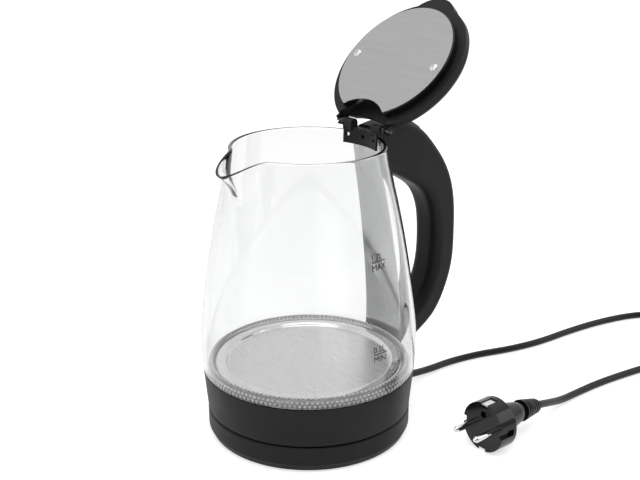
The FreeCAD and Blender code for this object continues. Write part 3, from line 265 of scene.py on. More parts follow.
def brushedMetal(name, light, dark, lowRough, highRough, draw, bump=0.05, **settings):
    material, tree, shader = startMaterial(name, {"Metallic": 1.0, **settings})
    lines = placeGroup(tree, "brushedLines", {"Draw": draw, "Low Rough": lowRough, "High Rough": highRough,
                                              "Light Tone": light, "Dark Tone": dark})
    tree.links.new(lines.outputs["Color"], shader.inputs["Base Color"])
    tree.links.new(lines.outputs["Roughness"], shader.inputs["Roughness"])
    addBump(tree, shader, lines.outputs["Height"], bump, 0.0001)
    return material


def jugGlass():
    # clear, a little greyer where the wall is seen edge on
    material, tree, shader = startMaterial("jugGlass", {"Transmission Weight": 1.0, "IOR": 1.46})
    edge = tree.nodes.new("ShaderNodeLayerWeight")
    edge.inputs["Blend"].default_value = 0.32
    ramp = tree.nodes.new("ShaderNodeValToRGB")
    ramp.color_ramp.elements[0].color = grey(0.975)
    ramp.color_ramp.elements[0].position = 0.45
    ramp.color_ramp.elements[1].color = grey(0.86, (0.985, 1.0, 0.995))
    ramp.color_ramp.elements[1].position = 1.0
    tree.links.new(edge.outputs["Facing"], ramp.inputs["Fac"])
    tree.links.new(ramp.outputs["Color"], shader.inputs["Base Color"])
    grain = placeGroup(tree, "fineGrain", {"Grain Scale": 20.0, "Low Rough": 0.0, "High Rough": 0.015})
    tree.links.new(grain.outputs["Roughness"], shader.inputs["Roughness"])
    # long paths inside the wall come out greyer, so the outline and the rim show
    soak = tree.nodes.new("ShaderNodeVolumeAbsorption")
    soak.inputs["Color"].default_value = (0.88, 0.90, 0.895, 1.0)
    soak.inputs["Density"].default_value = 75.0
    tree.links.new(soak.outputs["Volume"], tree.nodes["Material Output"].inputs["Volume"])
    return material


def clearSilicone(name, through, toneA, toneB):
    material, tree, shader = startMaterial(name, {"Transmission Weight": through, "IOR": 1.41})
    tone = placeGroup(tree, "twoTone", {"Scale": 300.0, "Tone A": toneA, "Tone B": toneB})
    grain = placeGroup(tree, "fineGrain", {"Grain Scale": 900.0, "Low Rough": 0.05, "High Rough": 0.2})
    tree.links.new(tone.outputs["Color"], shader.inputs["Base Color"])
    tree.links.new(grain.outputs["Roughness"], shader.inputs["Roughness"])
    addBump(tree, shader, grain.outputs["Height"], 0.2, 0.0003)
    return material


beadStart = {"brushedTo": 59.2, "smoothFrom": 60.0}


def beadedPlate():
    # brushed in the middle, drawn smooth on the bead and beyond
    material, tree, shader = startMaterial("beadedPlate", {"Metallic": 1.0})
    link = tree.links.new
    lines = placeGroup(tree, "brushedLines", {"Draw": (1500.0, 18.0, 1500.0), "Low Rough": 0.24, "High Rough": 0.34,
                                              "Light Tone": grey(0.63), "Dark Tone": grey(0.59)})
    place = tree.nodes.new("ShaderNodeTexCoord")
    flat = tree.nodes.new("ShaderNodeVectorMath")
    flat.operation = "MULTIPLY"
    flat.inputs[1].default_value = (1.0, 1.0, 0.0)
    link(place.outputs["Object"], flat.inputs[0])
    far = tree.nodes.new("ShaderNodeVectorMath")
    far.operation = "LENGTH"
    link(flat.outputs["Vector"], far.inputs[0])
    smooth = tree.nodes.new("ShaderNodeMapRange")
    smooth.inputs["From Min"].default_value = beadStart["brushedTo"] * mm
    smooth.inputs["From Max"].default_value = beadStart["smoothFrom"] * mm
    smooth.inputs["To Min"].default_value = 1.0
    smooth.inputs["To Max"].default_value = 0.35
    link(far.outputs["Value"], smooth.inputs["Value"])
    rough = tree.nodes.new("ShaderNodeMath")
    rough.operation = "MULTIPLY"
    link(lines.outputs["Roughness"], rough.inputs[0])
    link(smooth.outputs["Result"], rough.inputs[1])
    link(rough.outputs[0], shader.inputs["Roughness"])
    link(lines.outputs["Color"], shader.inputs["Base Color"])
    addBump(tree, shader, lines.outputs["Height"], 0.015, 0.0001)
    return material


finishes = {
    "black_matte": mouldedPlastic("matteBlackPlastic", grey(0.0065), grey(0.0090), 0.42, 0.52,
                                  **{"Specular IOR Level": 0.2}),
    "black_gloss": mouldedPlastic("glossBlackPlastic", grey(0.0040), grey(0.0060, (0.9, 1.0, 1.2)), 0.10, 0.17,
                                  bump=0.02, **{"Specular IOR Level": 0.35}),
    "inner_plastic": mouldedPlastic("innerPlastic", grey(0.055), grey(0.07), 0.45, 0.6),
    "black_rubber": mouldedPlastic("cordSheath", grey(0.0050), grey(0.0075), 0.28, 0.38, grainScale=2600.0, bump=0.1,
                                   **{"Specular IOR Level": 0.3}),
    "foot_rubber": mouldedPlastic("footRubber", grey(0.03), grey(0.045), 0.6, 0.8, grainScale=900.0, bump=0.3),
    "clear_silicone": clearSilicone("clearSilicone", 0.75, grey(0.52), grey(0.82)),
    "jug_glass": jugGlass(),
    "brushed_plate": brushedMetal("brushedPlate", grey(0.66), grey(0.56), 0.30, 0.42, (1500.0, 18.0, 1500.0)),
    "polished_steel": brushedMetal("polishedSteel", grey(0.74), grey(0.69), 0.05, 0.10, (900.0, 900.0, 12.0),
                                   bump=0.01),
    "screw_steel": brushedMetal("screwSteel", grey(0.80), grey(0.66), 0.12, 0.28, (700.0, 700.0, 700.0)),
    "contact_brass": brushedMetal("contactBrass", (0.75, 0.55, 0.27, 1.0), (0.6, 0.42, 0.2, 1.0), 0.2, 0.35,
                                  (600.0, 60.0, 600.0)),
    "cast_aluminium": brushedMetal("castAluminium", grey(0.62), grey(0.5), 0.4, 0.6, (300.0, 300.0, 300.0), bump=0.2),
    "element_sheath": brushedMetal("elementSheath", grey(0.3), grey(0.2), 0.35, 0.55, (500.0, 500.0, 500.0)),
}
print("materials made")


# pieces with their own steel: the lid plate and the rear strip are their slot's steel painted darker, as painted
# shade; the hinge pins and springs are a dark steel
ownSteelsAndShadedCopies = {
    # the lid plate: the brushed plate steel painted darker, painted shade for the dim surroundings its face reflects
    "lid_steel_plate": brushedMetal("lidPlateSteelPaintedShade", grey(0.46), grey(0.36), 0.26, 0.36, (1500.0, 18.0, 1500.0)),
    # the rear strip: the polished steel painted darker, painted shade standing in for the dark handle and surroundings
    # it reflects
    "rear_strip": brushedMetal("stripSteelPaintedShade", grey(0.50), grey(0.44), 0.10, 0.18, (900.0, 900.0, 12.0), bump=0.02),
    "hinge_pins": brushedMetal("pinSteel", grey(0.10), grey(0.06), 0.25, 0.4, (700.0, 700.0, 700.0)),
}
ownSteelsAndShadedCopies["lid_springs"] = ownSteelsAndShadedCopies["hinge_pins"]


def finishCadNodes():
    for part in frame["record"]["subparts"]:
        mesh = nodes[part["node"]].data
        mesh.materials.clear()
        mesh.materials.append(ownSteelsAndShadedCopies.get(part["node"], finishes[part["material_slot"]]))


finishCadNodes()


# geometry node helpers

def newTree(name, inputs):
    tree = bpy.data.node_groups.new(name, "GeometryNodeTree")
    tree.interface.new_socket("Geometry", in_out="INPUT", socket_type="NodeSocketGeometry")
    for label, kind, value in inputs:
        socket = tree.interface.new_socket(label, in_out="INPUT", socket_type=kind)
        if kind != "NodeSocketMaterial":
            socket.default_value = value
    tree.interface.new_socket("Geometry", in_out="OUTPUT", socket_type="NodeSocketGeometry")
    return tree, tree.nodes.new("NodeGroupInput"), tree.nodes.new("NodeGroupOutput")


def mathNode(tree, operation, first, second=None):
    node = tree.nodes.new("ShaderNodeMath")
    node.operation = operation
    for slot, value in enumerate((first, second)):
        if value is None:
            continue
        if hasattr(value, "links"):
            tree.links.new(value, node.inputs[slot])
        else:
            node.inputs[slot].default_value = value
    return node.outputs[0]


def combine(tree, x=0.0, y=0.0, z=0.0):
    node = tree.nodes.new("ShaderNodeCombineXYZ")
    for slot, value in enumerate((x, y, z)):
        if hasattr(value, "links"):
            tree.links.new(value, node.inputs[slot])
        else:
            node.inputs[slot].default_value = value
    return node.outputs[0]


def endTree(tree, geometry, material, go):
    # every tree ends the same way: real geometry, then its material
    real = tree.nodes.new("GeometryNodeRealizeInstances")
    paint = tree.nodes.new("GeometryNodeSetMaterial")
    tree.links.new(geometry, real.inputs["Geometry"])
    tree.links.new(real.outputs["Geometry"], paint.inputs["Geometry"])
    tree.links.new(material, paint.inputs["Material"])
    tree.links.new(paint.outputs["Geometry"], go.inputs["Geometry"])


def runTree(pieceName, seedMesh, tree, values):
    # seed mesh + tree -> a plain mesh object
    seed = newPiece(pieceName + "Seed", seedMesh)
    modifier = seed.modifiers.new("build", "NODES")
    modifier.node_group = tree
    for item in tree.interface.items_tree:
        if item.item_type == "SOCKET" and item.in_out == "INPUT" and item.name in values:
            modifier[item.identifier] = values[item.name]
    bpy.context.view_layer.update()
    evaluated = seed.evaluated_get(bpy.context.evaluated_depsgraph_get())
    mesh = bpy.data.meshes.new_from_object(evaluated)
    mesh.name = pieceName
    bpy.data.objects.remove(seed)
    return newPiece(pieceName, mesh)


def pointMesh(name, points):
    mesh = bpy.data.meshes.new(name)
    mesh.from_pydata([tuple(p) for p in points], [], [])
    return mesh


def lineMesh(name, points):
    mesh = bpy.data.meshes.new(name)
    mesh.from_pydata([tuple(p) for p in points], [(n, n + 1) for n in range(len(points) - 1)], [])
    return mesh


# mains cord and the ribbed strain relief sleeve at its plug

cordSet = {
    "radius": 2.9, "length": 0.69, "exit": (70.0, 0.3, 9.0),
    "route": [
        (46.0, 0.0, 9.0), (73.0, 0.4, 9.0), (101.0, -1.2, 8.0), (127.0, 0.6, 4.2), (155.0, 2.2, 3.0),
        (184.0, -3.0, 3.0), (214.0, -13.5, 3.0), (247.0, -20.0, 3.0), (285.0, -21.0, 3.0), (326.0, -25.5, 3.0),
        (365.0, -36.0, 3.0), (393.0, -57.0, 3.0), (400.0, -86.0, 3.0), (381.0, -110.0, 3.0),
        (345.0, -119.0, 3.0), (303.0, -115.0, 3.0), (262.0, -108.0, 3.0), (224.0, -103.5, 3.0),
        (196.0, -103.0, 3.0), (172.0, -105.0, 4.4), (150.0, -109.0, 10.6), (128.0, -112.6, 17.0),
        (107.0, -114.0, 19.3)]}


def cordCurve(name, thick):
    curve = bpy.data.curves.new(name, "CURVE")
    curve.dimensions = "3D"
    curve.resolution_u = 10
    curve.bevel_depth = thick * mm
    curve.bevel_resolution = 7
    curve.use_fill_caps = True
    run = curve.splines.new("NURBS")
    run.points.add(len(cordSet["route"]) - 1)
    for point, place in zip(run.points, cordSet["route"]):
        point.co = (place[0] * mm, place[1] * mm, place[2] * mm, 1.0)
    run.order_u = 3
    run.use_endpoint_u = True
    return curve


def cordLine():
    # the cord's own centre line, read back from its curve
    plain = bpy.data.objects.new("cordLine", cordCurve("cordLine", 0.0))
    scene.collection.objects.link(plain)
    bpy.context.view_layer.update()
    mesh = bpy.data.meshes.new_from_object(plain.evaluated_get(bpy.context.evaluated_depsgraph_get()))
    line = [v.co.copy() for v in mesh.vertices]
    bpy.data.objects.remove(plain)
    return line


sleeveSet = {"ribs": 6, "start": 7.4, "end": 4.6, "ribRise": 0.9, "from": 110.4, "to": 133.0}


def buildSleeveTree():
    tree, come, go = newTree("ribbedSleeve", [
        ("Start Radius", "NodeSocketFloat", 0.006), ("End Radius", "NodeSocketFloat", 0.004),
        ("Rib Rise", "NodeSocketFloat", 0.0007), ("Rib Count", "NodeSocketFloat", 6.0),
        ("Material", "NodeSocketMaterial", None)])
    link = tree.links.new
    toCurve = tree.nodes.new("GeometryNodeMeshToCurve")
    link(come.outputs["Geometry"], toCurve.inputs["Mesh"])
    even = tree.nodes.new("GeometryNodeResampleCurve")
    even.inputs["Count"].default_value = 150
    link(toCurve.outputs["Curve"], even.inputs["Curve"])
    along = tree.nodes.new("GeometryNodeSplineParameter").outputs["Factor"]
    taper = tree.nodes.new("ShaderNodeMapRange")
    link(along, taper.inputs["Value"])
    link(come.outputs["Start Radius"], taper.inputs["To Min"])
    link(come.outputs["End Radius"], taper.inputs["To Max"])
    # ribs: flat-topped waves that stand on the taper
    turns = mathNode(tree, "MULTIPLY", mathNode(tree, "MULTIPLY", along, come.outputs["Rib Count"]), 2 * math.pi)
    wave = mathNode(tree, "SINE", turns)
    rib = tree.nodes.new("ShaderNodeMapRange")
    rib.interpolation_type = "SMOOTHSTEP"
    rib.inputs["From Min"].default_value = -0.25
    rib.inputs["From Max"].default_value = 0.25
    link(wave, rib.inputs["Value"])
    rise = mathNode(tree, "MULTIPLY", rib.outputs["Result"], come.outputs["Rib Rise"])
    radius = mathNode(tree, "ADD", taper.outputs["Result"], rise)
    ring = tree.nodes.new("GeometryNodeCurvePrimitiveCircle")
    ring.inputs["Resolution"].default_value = 40
    ring.inputs["Radius"].default_value = 1.0
    body = tree.nodes.new("GeometryNodeCurveToMesh")
    body.inputs["Fill Caps"].default_value = True
    link(even.outputs["Curve"], body.inputs["Curve"])
    link(ring.outputs["Curve"], body.inputs["Profile Curve"])
    link(radius, body.inputs["Scale"])
    endTree(tree, body.outputs["Mesh"], come.outputs["Material"], go)
    return tree


def makeCord():
    cord = bpy.data.objects.new("mainsCord", cordCurve("mainsCord", cordSet["radius"]))
    cord.data.materials.append(finishes["black_rubber"])
    scene.collection.objects.link(cord)
    line = [p for p in cordLine() if sleeveSet["from"] * mm <= p.x <= sleeveSet["to"] * mm and p.y < -0.09]
    line.sort(key=lambda p: p.x)
    sleeve = runTree("plugSleeve", lineMesh("plugSleeveLine", line), buildSleeveTree(), {
        "Start Radius": sleeveSet["start"] * mm, "End Radius": sleeveSet["end"] * mm,
        "Rib Rise": sleeveSet["ribRise"] * mm, "Rib Count": float(sleeveSet["ribs"]),
        "Material": finishes["black_gloss"]})
    tidyMesh(sleeve.data)
    sharpen(sleeve.data, 50)
    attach(sleeve, "power_base")
    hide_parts("plug_strain_relief")
    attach(cord, "power_base")
    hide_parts("cord_run")
    return cord


makeCord()
print("cord laid")


# light, world and floor

lightSet = {
    "world": 0.62,
    "lamps": [
        # name, place (m), aim (m), size (m), watts
        ("topBox", (-0.1, -0.25, 1.5), (0.03, 0.0, 0.12), 1.3, 9.0),
        ("leftBox", (-1.3, -0.5, 0.9), (0.0, 0.0, 0.15), 0.9, 5.0),
        ("rightBox", (1.2, -0.9, 0.8), (0.05, 0.0, 0.15), 0.8, 3.0)]}


def makeWorld():
    world = bpy.data.worlds.new("studio")
    scene.world = world
    world.use_nodes = True
    tree = world.node_tree
    tree.nodes.clear()
    link = tree.links.new
    out = tree.nodes.new("ShaderNodeOutputWorld")
    rays = tree.nodes.new("ShaderNodeLightPath")
    # what lights the object
    fill = tree.nodes.new("ShaderNodeBackground")
    fill.inputs["Strength"].default_value = lightSet["world"]
    fill.inputs["Color"].default_value = (1.0, 1.0, 1.0, 1.0)
    # what shiny pieces show: white all round with one dim side, as in a tent with an open front
    place = tree.nodes.new("ShaderNodeTexCoord")
    parts = tree.nodes.new("ShaderNodeSeparateXYZ")
    link(place.outputs["Generated"], parts.inputs["Vector"])
    front = mathNode(tree, "ADD", mathNode(tree, "MULTIPLY", parts.outputs["X"], 0.35),
                     mathNode(tree, "MULTIPLY", parts.outputs["Y"], 0.94))
    ramp = tree.nodes.new("ShaderNodeValToRGB")
    ramp.color_ramp.elements[0].position = 0.05
    ramp.color_ramp.elements[0].color = grey(0.16)
    ramp.color_ramp.elements[1].position = 0.62
    ramp.color_ramp.elements[1].color = grey(1.0)
    shifted = mathNode(tree, "ADD", mathNode(tree, "MULTIPLY", front, 0.5), 0.5)
    link(shifted, ramp.inputs["Fac"])
    shine = tree.nodes.new("ShaderNodeBackground")
    link(ramp.outputs["Color"], shine.inputs["Color"])
    white = tree.nodes.new("ShaderNodeBackground")
    white.inputs["Color"].default_value = (1.0, 1.0, 1.0, 1.0)
    first = tree.nodes.new("ShaderNodeMixShader")
    link(rays.outputs["Is Glossy Ray"], first.inputs["Fac"])
    link(fill.outputs["Background"], first.inputs[1])
    link(shine.outputs["Background"], first.inputs[2])
    seen = mathNode(tree, "MAXIMUM", rays.outputs["Is Camera Ray"], rays.outputs["Is Transmission Ray"])
    second = tree.nodes.new("ShaderNodeMixShader")
    link(seen, second.inputs["Fac"])
    link(first.outputs["Shader"], second.inputs[1])
    link(white.outputs["Background"], second.inputs[2])
    link(second.outputs["Shader"], out.inputs["Surface"])


def makeLamps():
    for name, place, aim, size, watts in lightSet["lamps"]:
        data = bpy.data.lights.new(name, "AREA")
        data.shape = "SQUARE"
        data.size = size
        data.energy = watts
        lamp = bpy.data.objects.new(name, data)
        lamp.location = place
        lamp.rotation_euler = (Vector(aim) - Vector(place)).to_track_quat("-Z", "Y").to_euler()
        scene.collection.objects.link(lamp)


floorSet = {"half": 6000.0, "tone": 0.80, "lift": 0.56, "liftInGlass": 0.34}


def makeFloor():
    half = floorSet["half"] * mm
    mesh = bpy.data.meshes.new("floor")
    mesh.from_pydata([(-half, -half, 0), (half, -half, 0), (half, half, 0), (-half, half, 0)], [], [(0, 1, 2, 3)])
    material = bpy.data.materials.new("paleFloor")
    material.use_nodes = True
    tree = material.node_tree
    tree.nodes.clear()
    link = tree.links.new
    out = tree.nodes.new("ShaderNodeOutputMaterial")
    paper = tree.nodes.new("ShaderNodeBsdfDiffuse")
    paper.inputs["Color"].default_value = grey(floorSet["tone"])
    lift = tree.nodes.new("ShaderNodeEmission")
    rays = tree.nodes.new("ShaderNodeLightPath")
    straight = mathNode(tree, "MULTIPLY", rays.outputs["Is Camera Ray"], floorSet["lift"])
    bent = mathNode(tree, "MAXIMUM", rays.outputs["Is Glossy Ray"], rays.outputs["Is Transmission Ray"])
    bent = mathNode(tree, "MULTIPLY", bent, floorSet["liftInGlass"])
    link(mathNode(tree, "MAXIMUM", straight, bent), lift.inputs["Strength"])
    both = tree.nodes.new("ShaderNodeAddShader")
    link(paper.outputs["BSDF"], both.inputs[0])
    link(lift.outputs["Emission"], both.inputs[1])
    link(both.outputs["Shader"], out.inputs["Surface"])
    floor = newPiece("floor", mesh, material)
    floor.location.z = -0.0002


makeWorld()
makeLamps()
makeFloor()
print("light and floor set")


# glass jug

glassSet = {
    "foot": 51.0, "rim": 218.2, "footRadius": 79.0, "belly": 79.7, "rimRadius": 55.9, "wall": 2.8,
    "shares": ((0.145, 1.0), (0.32, 0.895), (0.53, 0.672), (0.77, 0.336), (0.92, 0.093)),
    "spoutReach": 21.0, "spoutDip": 10.0, "spoutHalfAngle": 27.0, "spoutDepth": 27.0,
    "around": 216, "rows": 64, "rounding": 8}


def glassCurve():
    # heights and radii of the outside of the glass as a natural cubic through its stations
    g = glassSet
    span, wide = g["rim"] - g["foot"], g["belly"] - g["rimRadius"]
    heights = [g["foot"]] + [g["foot"] + part * span for part, _ in g["shares"]] + [g["rim"]]
    radii = [g["footRadius"]] + [g["rimRadius"] + share * wide for _, share in g["shares"]] + [g["rimRadius"]]
    x, y = np.array(heights), np.array(radii)
    n = len(x)
    step = np.diff(x)
    matrix, right = np.eye(n), np.zeros(n)
    for i in range(1, n - 1):
        matrix[i, i - 1], matrix[i, i], matrix[i, i + 1] = step[i - 1], 2 * (step[i - 1] + step[i]), step[i]
        right[i] = 6 * ((y[i + 1] - y[i]) / step[i] - (y[i] - y[i - 1]) / step[i - 1])
    second = np.linalg.solve(matrix, right)
    return x, y, step, second


glassStations = glassCurve()


def glassRadius(height):
    x, y, step, second = glassStations
    i = int(min(max(np.searchsorted(x, height) - 1, 0), len(step) - 1))
    a, b = x[i + 1] - height, height - x[i]
    return float(second[i] * a ** 3 / (6 * step[i]) + second[i + 1] * b ** 3 / (6 * step[i])
                 + (y[i] / step[i] - second[i] * step[i] / 6) * a
                 + (y[i + 1] / step[i] - second[i + 1] * step[i] / 6) * b)


def spoutPull(angle):
    share = abs(math.degrees(angle) - 180.0) / glassSet["spoutHalfAngle"]
    return 0.0 if share >= 1 else (0.5 + 0.5 * math.cos(math.pi * share)) ** 1.15


def glassPoint(angle, part, inset):
    g = glassSet
    pull = spoutPull(angle)
    top = g["rim"] - g["spoutDip"] * pull ** 1.4
    height = g["foot"] + part * (top - g["foot"])
    level = g["foot"] + part * (g["rim"] - g["foot"])
    drawn = max(0.0, (level - g["rim"]) / g["spoutDepth"] + 1.0) ** 1.7
    radius = glassRadius(level) - inset + g["spoutReach"] * pull * drawn
    return (radius * math.cos(angle) * mm, radius * math.sin(angle) * mm, height * mm)


def makeGlass():
    g = glassSet
    span, half = g["rim"] - g["foot"], g["wall"] / 2
    edge = half / span
    climb = [edge + (1 - 2 * edge) * (1 - (1 - n / g["rows"]) ** 1.35) for n in range(g["rows"] + 1)]
    steps = [(part, 0.0) for part in climb]
    turn = [math.pi * n / g["rounding"] for n in range(1, g["rounding"])]
    steps += [(1 - edge * (1 - math.sin(t)), half * (1 - math.cos(t))) for t in turn]
    steps += [(part, g["wall"]) for part in reversed(climb)]
    steps += [(edge * (1 - math.sin(t)), half * (1 + math.cos(t))) for t in turn]
    # closer together round the spout
    angles = []
    for n in range(g["around"]):
        turnShare = 2 * math.pi * n / g["around"]
        angles.append(turnShare + 0.45 * math.sin(turnShare))
    rows = [[glassPoint(a, part, inset) for a in angles] for part, inset in steps]
    jug = newPiece("glassJug", meshFromGrid("glassJug", rows, closedAlong=True), finishes["jug_glass"])
    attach(jug, "jug")
    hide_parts("glass_jug")
    return jug


makeGlass()
print("glass blown")


# heating plate and the clear seal round it

def softProfile(points, passes):
    # cuts the corners of a closed profile a few times, keeping points on the axis
    for _ in range(passes):
        cutPoints = []
        for n, here in enumerate(points):
            after = points[(n + 1) % len(points)]
            if here[0] < 1e-6 or after[0] < 1e-6:
                if here[0] < 1e-6:
                    cutPoints.append(here)
                if after[0] >= 1e-6:
                    cutPoints.append(tuple(a + 0.85 * (b - a) for a, b in zip(here, after)))
                elif here[0] >= 1e-6:
                    cutPoints.append(tuple(a + 0.15 * (b - a) for a, b in zip(here, after)))
                continue
            cutPoints.append(tuple(a + 0.22 * (b - a) for a, b in zip(here, after)))
            cutPoints.append(tuple(a + 0.78 * (b - a) for a, b in zip(here, after)))
        points = cutPoints
    return points


def lathe(name, profile, segments):
    turns = [2 * math.pi * n / segments for n in range(segments)]
    rows = [[(r * math.cos(a) * mm, r * math.sin(a) * mm, z * mm) for a in turns] for r, z in profile]
    return meshFromGrid(name, rows, closedAlong=profile[0][0] > 1e-6)


plateSet = {
    "segments": 256,
    "profile": [
        (0.0, 53.0), (59.0, 53.0), (60.6, 53.1), (61.8, 54.9), (63.2, 55.6), (67.6, 55.6), (69.6, 55.2), (71.0, 53.4),
        (71.0, 47.4), (71.6, 46.9), (75.2, 46.9), (75.2, 46.1), (70.2, 46.1), (70.2, 52.6), (68.0, 54.6),
        (63.8, 54.6), (61.4, 52.4), (0.0, 52.2)]}


def makePlate():
    mesh = lathe("heatingPlate", softProfile(plateSet["profile"], 3), plateSet["segments"])
    plate = newPiece("heatingPlate", mesh, beadedPlate())
    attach(plate, "jug")
    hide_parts("heating_plate")


sealSet = {
    "segments": 256, "teeth": 138, "toothWidth": 2.2, "toothHeight": 2.0, "toothProud": 0.9,
    "lowRow": 52.4, "highRow": 55.0, "rowRadius": 75.15, "topRow": 57.25, "topRadius": 72.9,
    "profile": [
        (71.1, 46.9), (71.1, 53.4), (71.9, 57.3), (73.7, 57.3), (74.3, 56.9), (75.1, 56.2), (75.1, 46.9)]}


def buildTeethTree():
    tree, come, go = newTree("sealTeeth", [
        ("Count", "NodeSocketInt", 150), ("Radius", "NodeSocketFloat", 0.075), ("Low Row", "NodeSocketFloat", 0.052),
        ("High Row", "NodeSocketFloat", 0.055), ("Top Row", "NodeSocketFloat", 0.057),
        ("Top Radius", "NodeSocketFloat", 0.073), ("Tooth Size", "NodeSocketVector", (0.001, 0.001, 0.001)),
        ("Material", "NodeSocketMaterial", None)])
    link = tree.links.new
    join = tree.nodes.new("GeometryNodeJoinGeometry")
    tooth = tree.nodes.new("GeometryNodeMeshIcoSphere")
    tooth.inputs["Radius"].default_value = 0.5
    tooth.inputs["Subdivisions"].default_value = 1
    for row, (height, radius, shift) in enumerate((("Low Row", "Radius", 0.0), ("High Row", "Radius", 0.5),
                                                   ("Top Row", "Top Radius", 0.25))):
        ring = tree.nodes.new("GeometryNodeMeshCircle")
        link(come.outputs["Count"], ring.inputs["Vertices"])
        link(come.outputs[radius], ring.inputs["Radius"])
        step = mathNode(tree, "DIVIDE", 2 * math.pi * shift, come.outputs["Count"])
        move = tree.nodes.new("GeometryNodeTransform")
        link(ring.outputs["Mesh"], move.inputs["Geometry"])
        link(combine(tree, 0.0, 0.0, come.outputs[height]), move.inputs["Translation"])
        link(combine(tree, 0.0, 0.0, step), move.inputs["Rotation"])
        where = tree.nodes.new("GeometryNodeInputPosition")
        flat = tree.nodes.new("ShaderNodeVectorMath")
        flat.operation = "MULTIPLY"
        flat.inputs[1].default_value = (1.0, 1.0, 0.0)
        link(where.outputs["Position"], flat.inputs[0])
        face = tree.nodes.new("FunctionNodeAlignRotationToVector")
        face.axis = "X"
        face.pivot_axis = "Z"
        link(flat.outputs["Vector"], face.inputs["Vector"])
        spread = tree.nodes.new("GeometryNodeInstanceOnPoints")
        link(move.outputs["Geometry"], spread.inputs["Points"])
        link(tooth.outputs["Mesh"], spread.inputs["Instance"])
        link(face.outputs["Rotation"], spread.inputs["Rotation"])
        link(come.outputs["Tooth Size"], spread.inputs["Scale"])
        link(spread.outputs["Instances"], join.inputs["Geometry"])
    endTree(tree, join.outputs["Geometry"], come.outputs["Material"], go)
    return tree


def makeSeal():
    s = sealSet
    ring = lathe("clearSeal", softProfile(s["profile"], 2), s["segments"])
    seal = newPiece("clearSeal", ring, finishes["clear_silicone"])
    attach(seal, "jug")
    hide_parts("seal_ring")
    # the teeth take a whiter, less clear copy of the seal's silicone than the ring: painted glints
    teeth = runTree("sealTeeth", pointMesh("sealTeethSeed", []), buildTeethTree(), {
        "Count": s["teeth"], "Radius": s["rowRadius"] * mm, "Low Row": s["lowRow"] * mm, "High Row": s["highRow"] * mm,
        "Top Row": s["topRow"] * mm, "Top Radius": s["topRadius"] * mm,
        "Tooth Size": (2 * s["toothProud"] * mm, s["toothWidth"] * mm, s["toothHeight"] * mm),
        "Material": clearSilicone("toothSiliconePaintedGlint", 0.35, grey(0.85), grey(1.0))})
    for face in teeth.data.polygons:
        face.use_smooth = False
    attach(teeth, "jug")


makePlate()
makeSeal()
print("plate and seal made")


# cross-head screws

screwSet = {
    "lidHead": (3.2, 1.4), "coverHead": (2.6, 1.1),   # radius and height
    "crossWidth": 0.75, "crossLength": 3.6, "crossDepth": 0.9,   # on the lid's screws; the others follow their head
    "crossTurn": 0.4, "shankRadius": 1.2, "shankLength": 8.0}


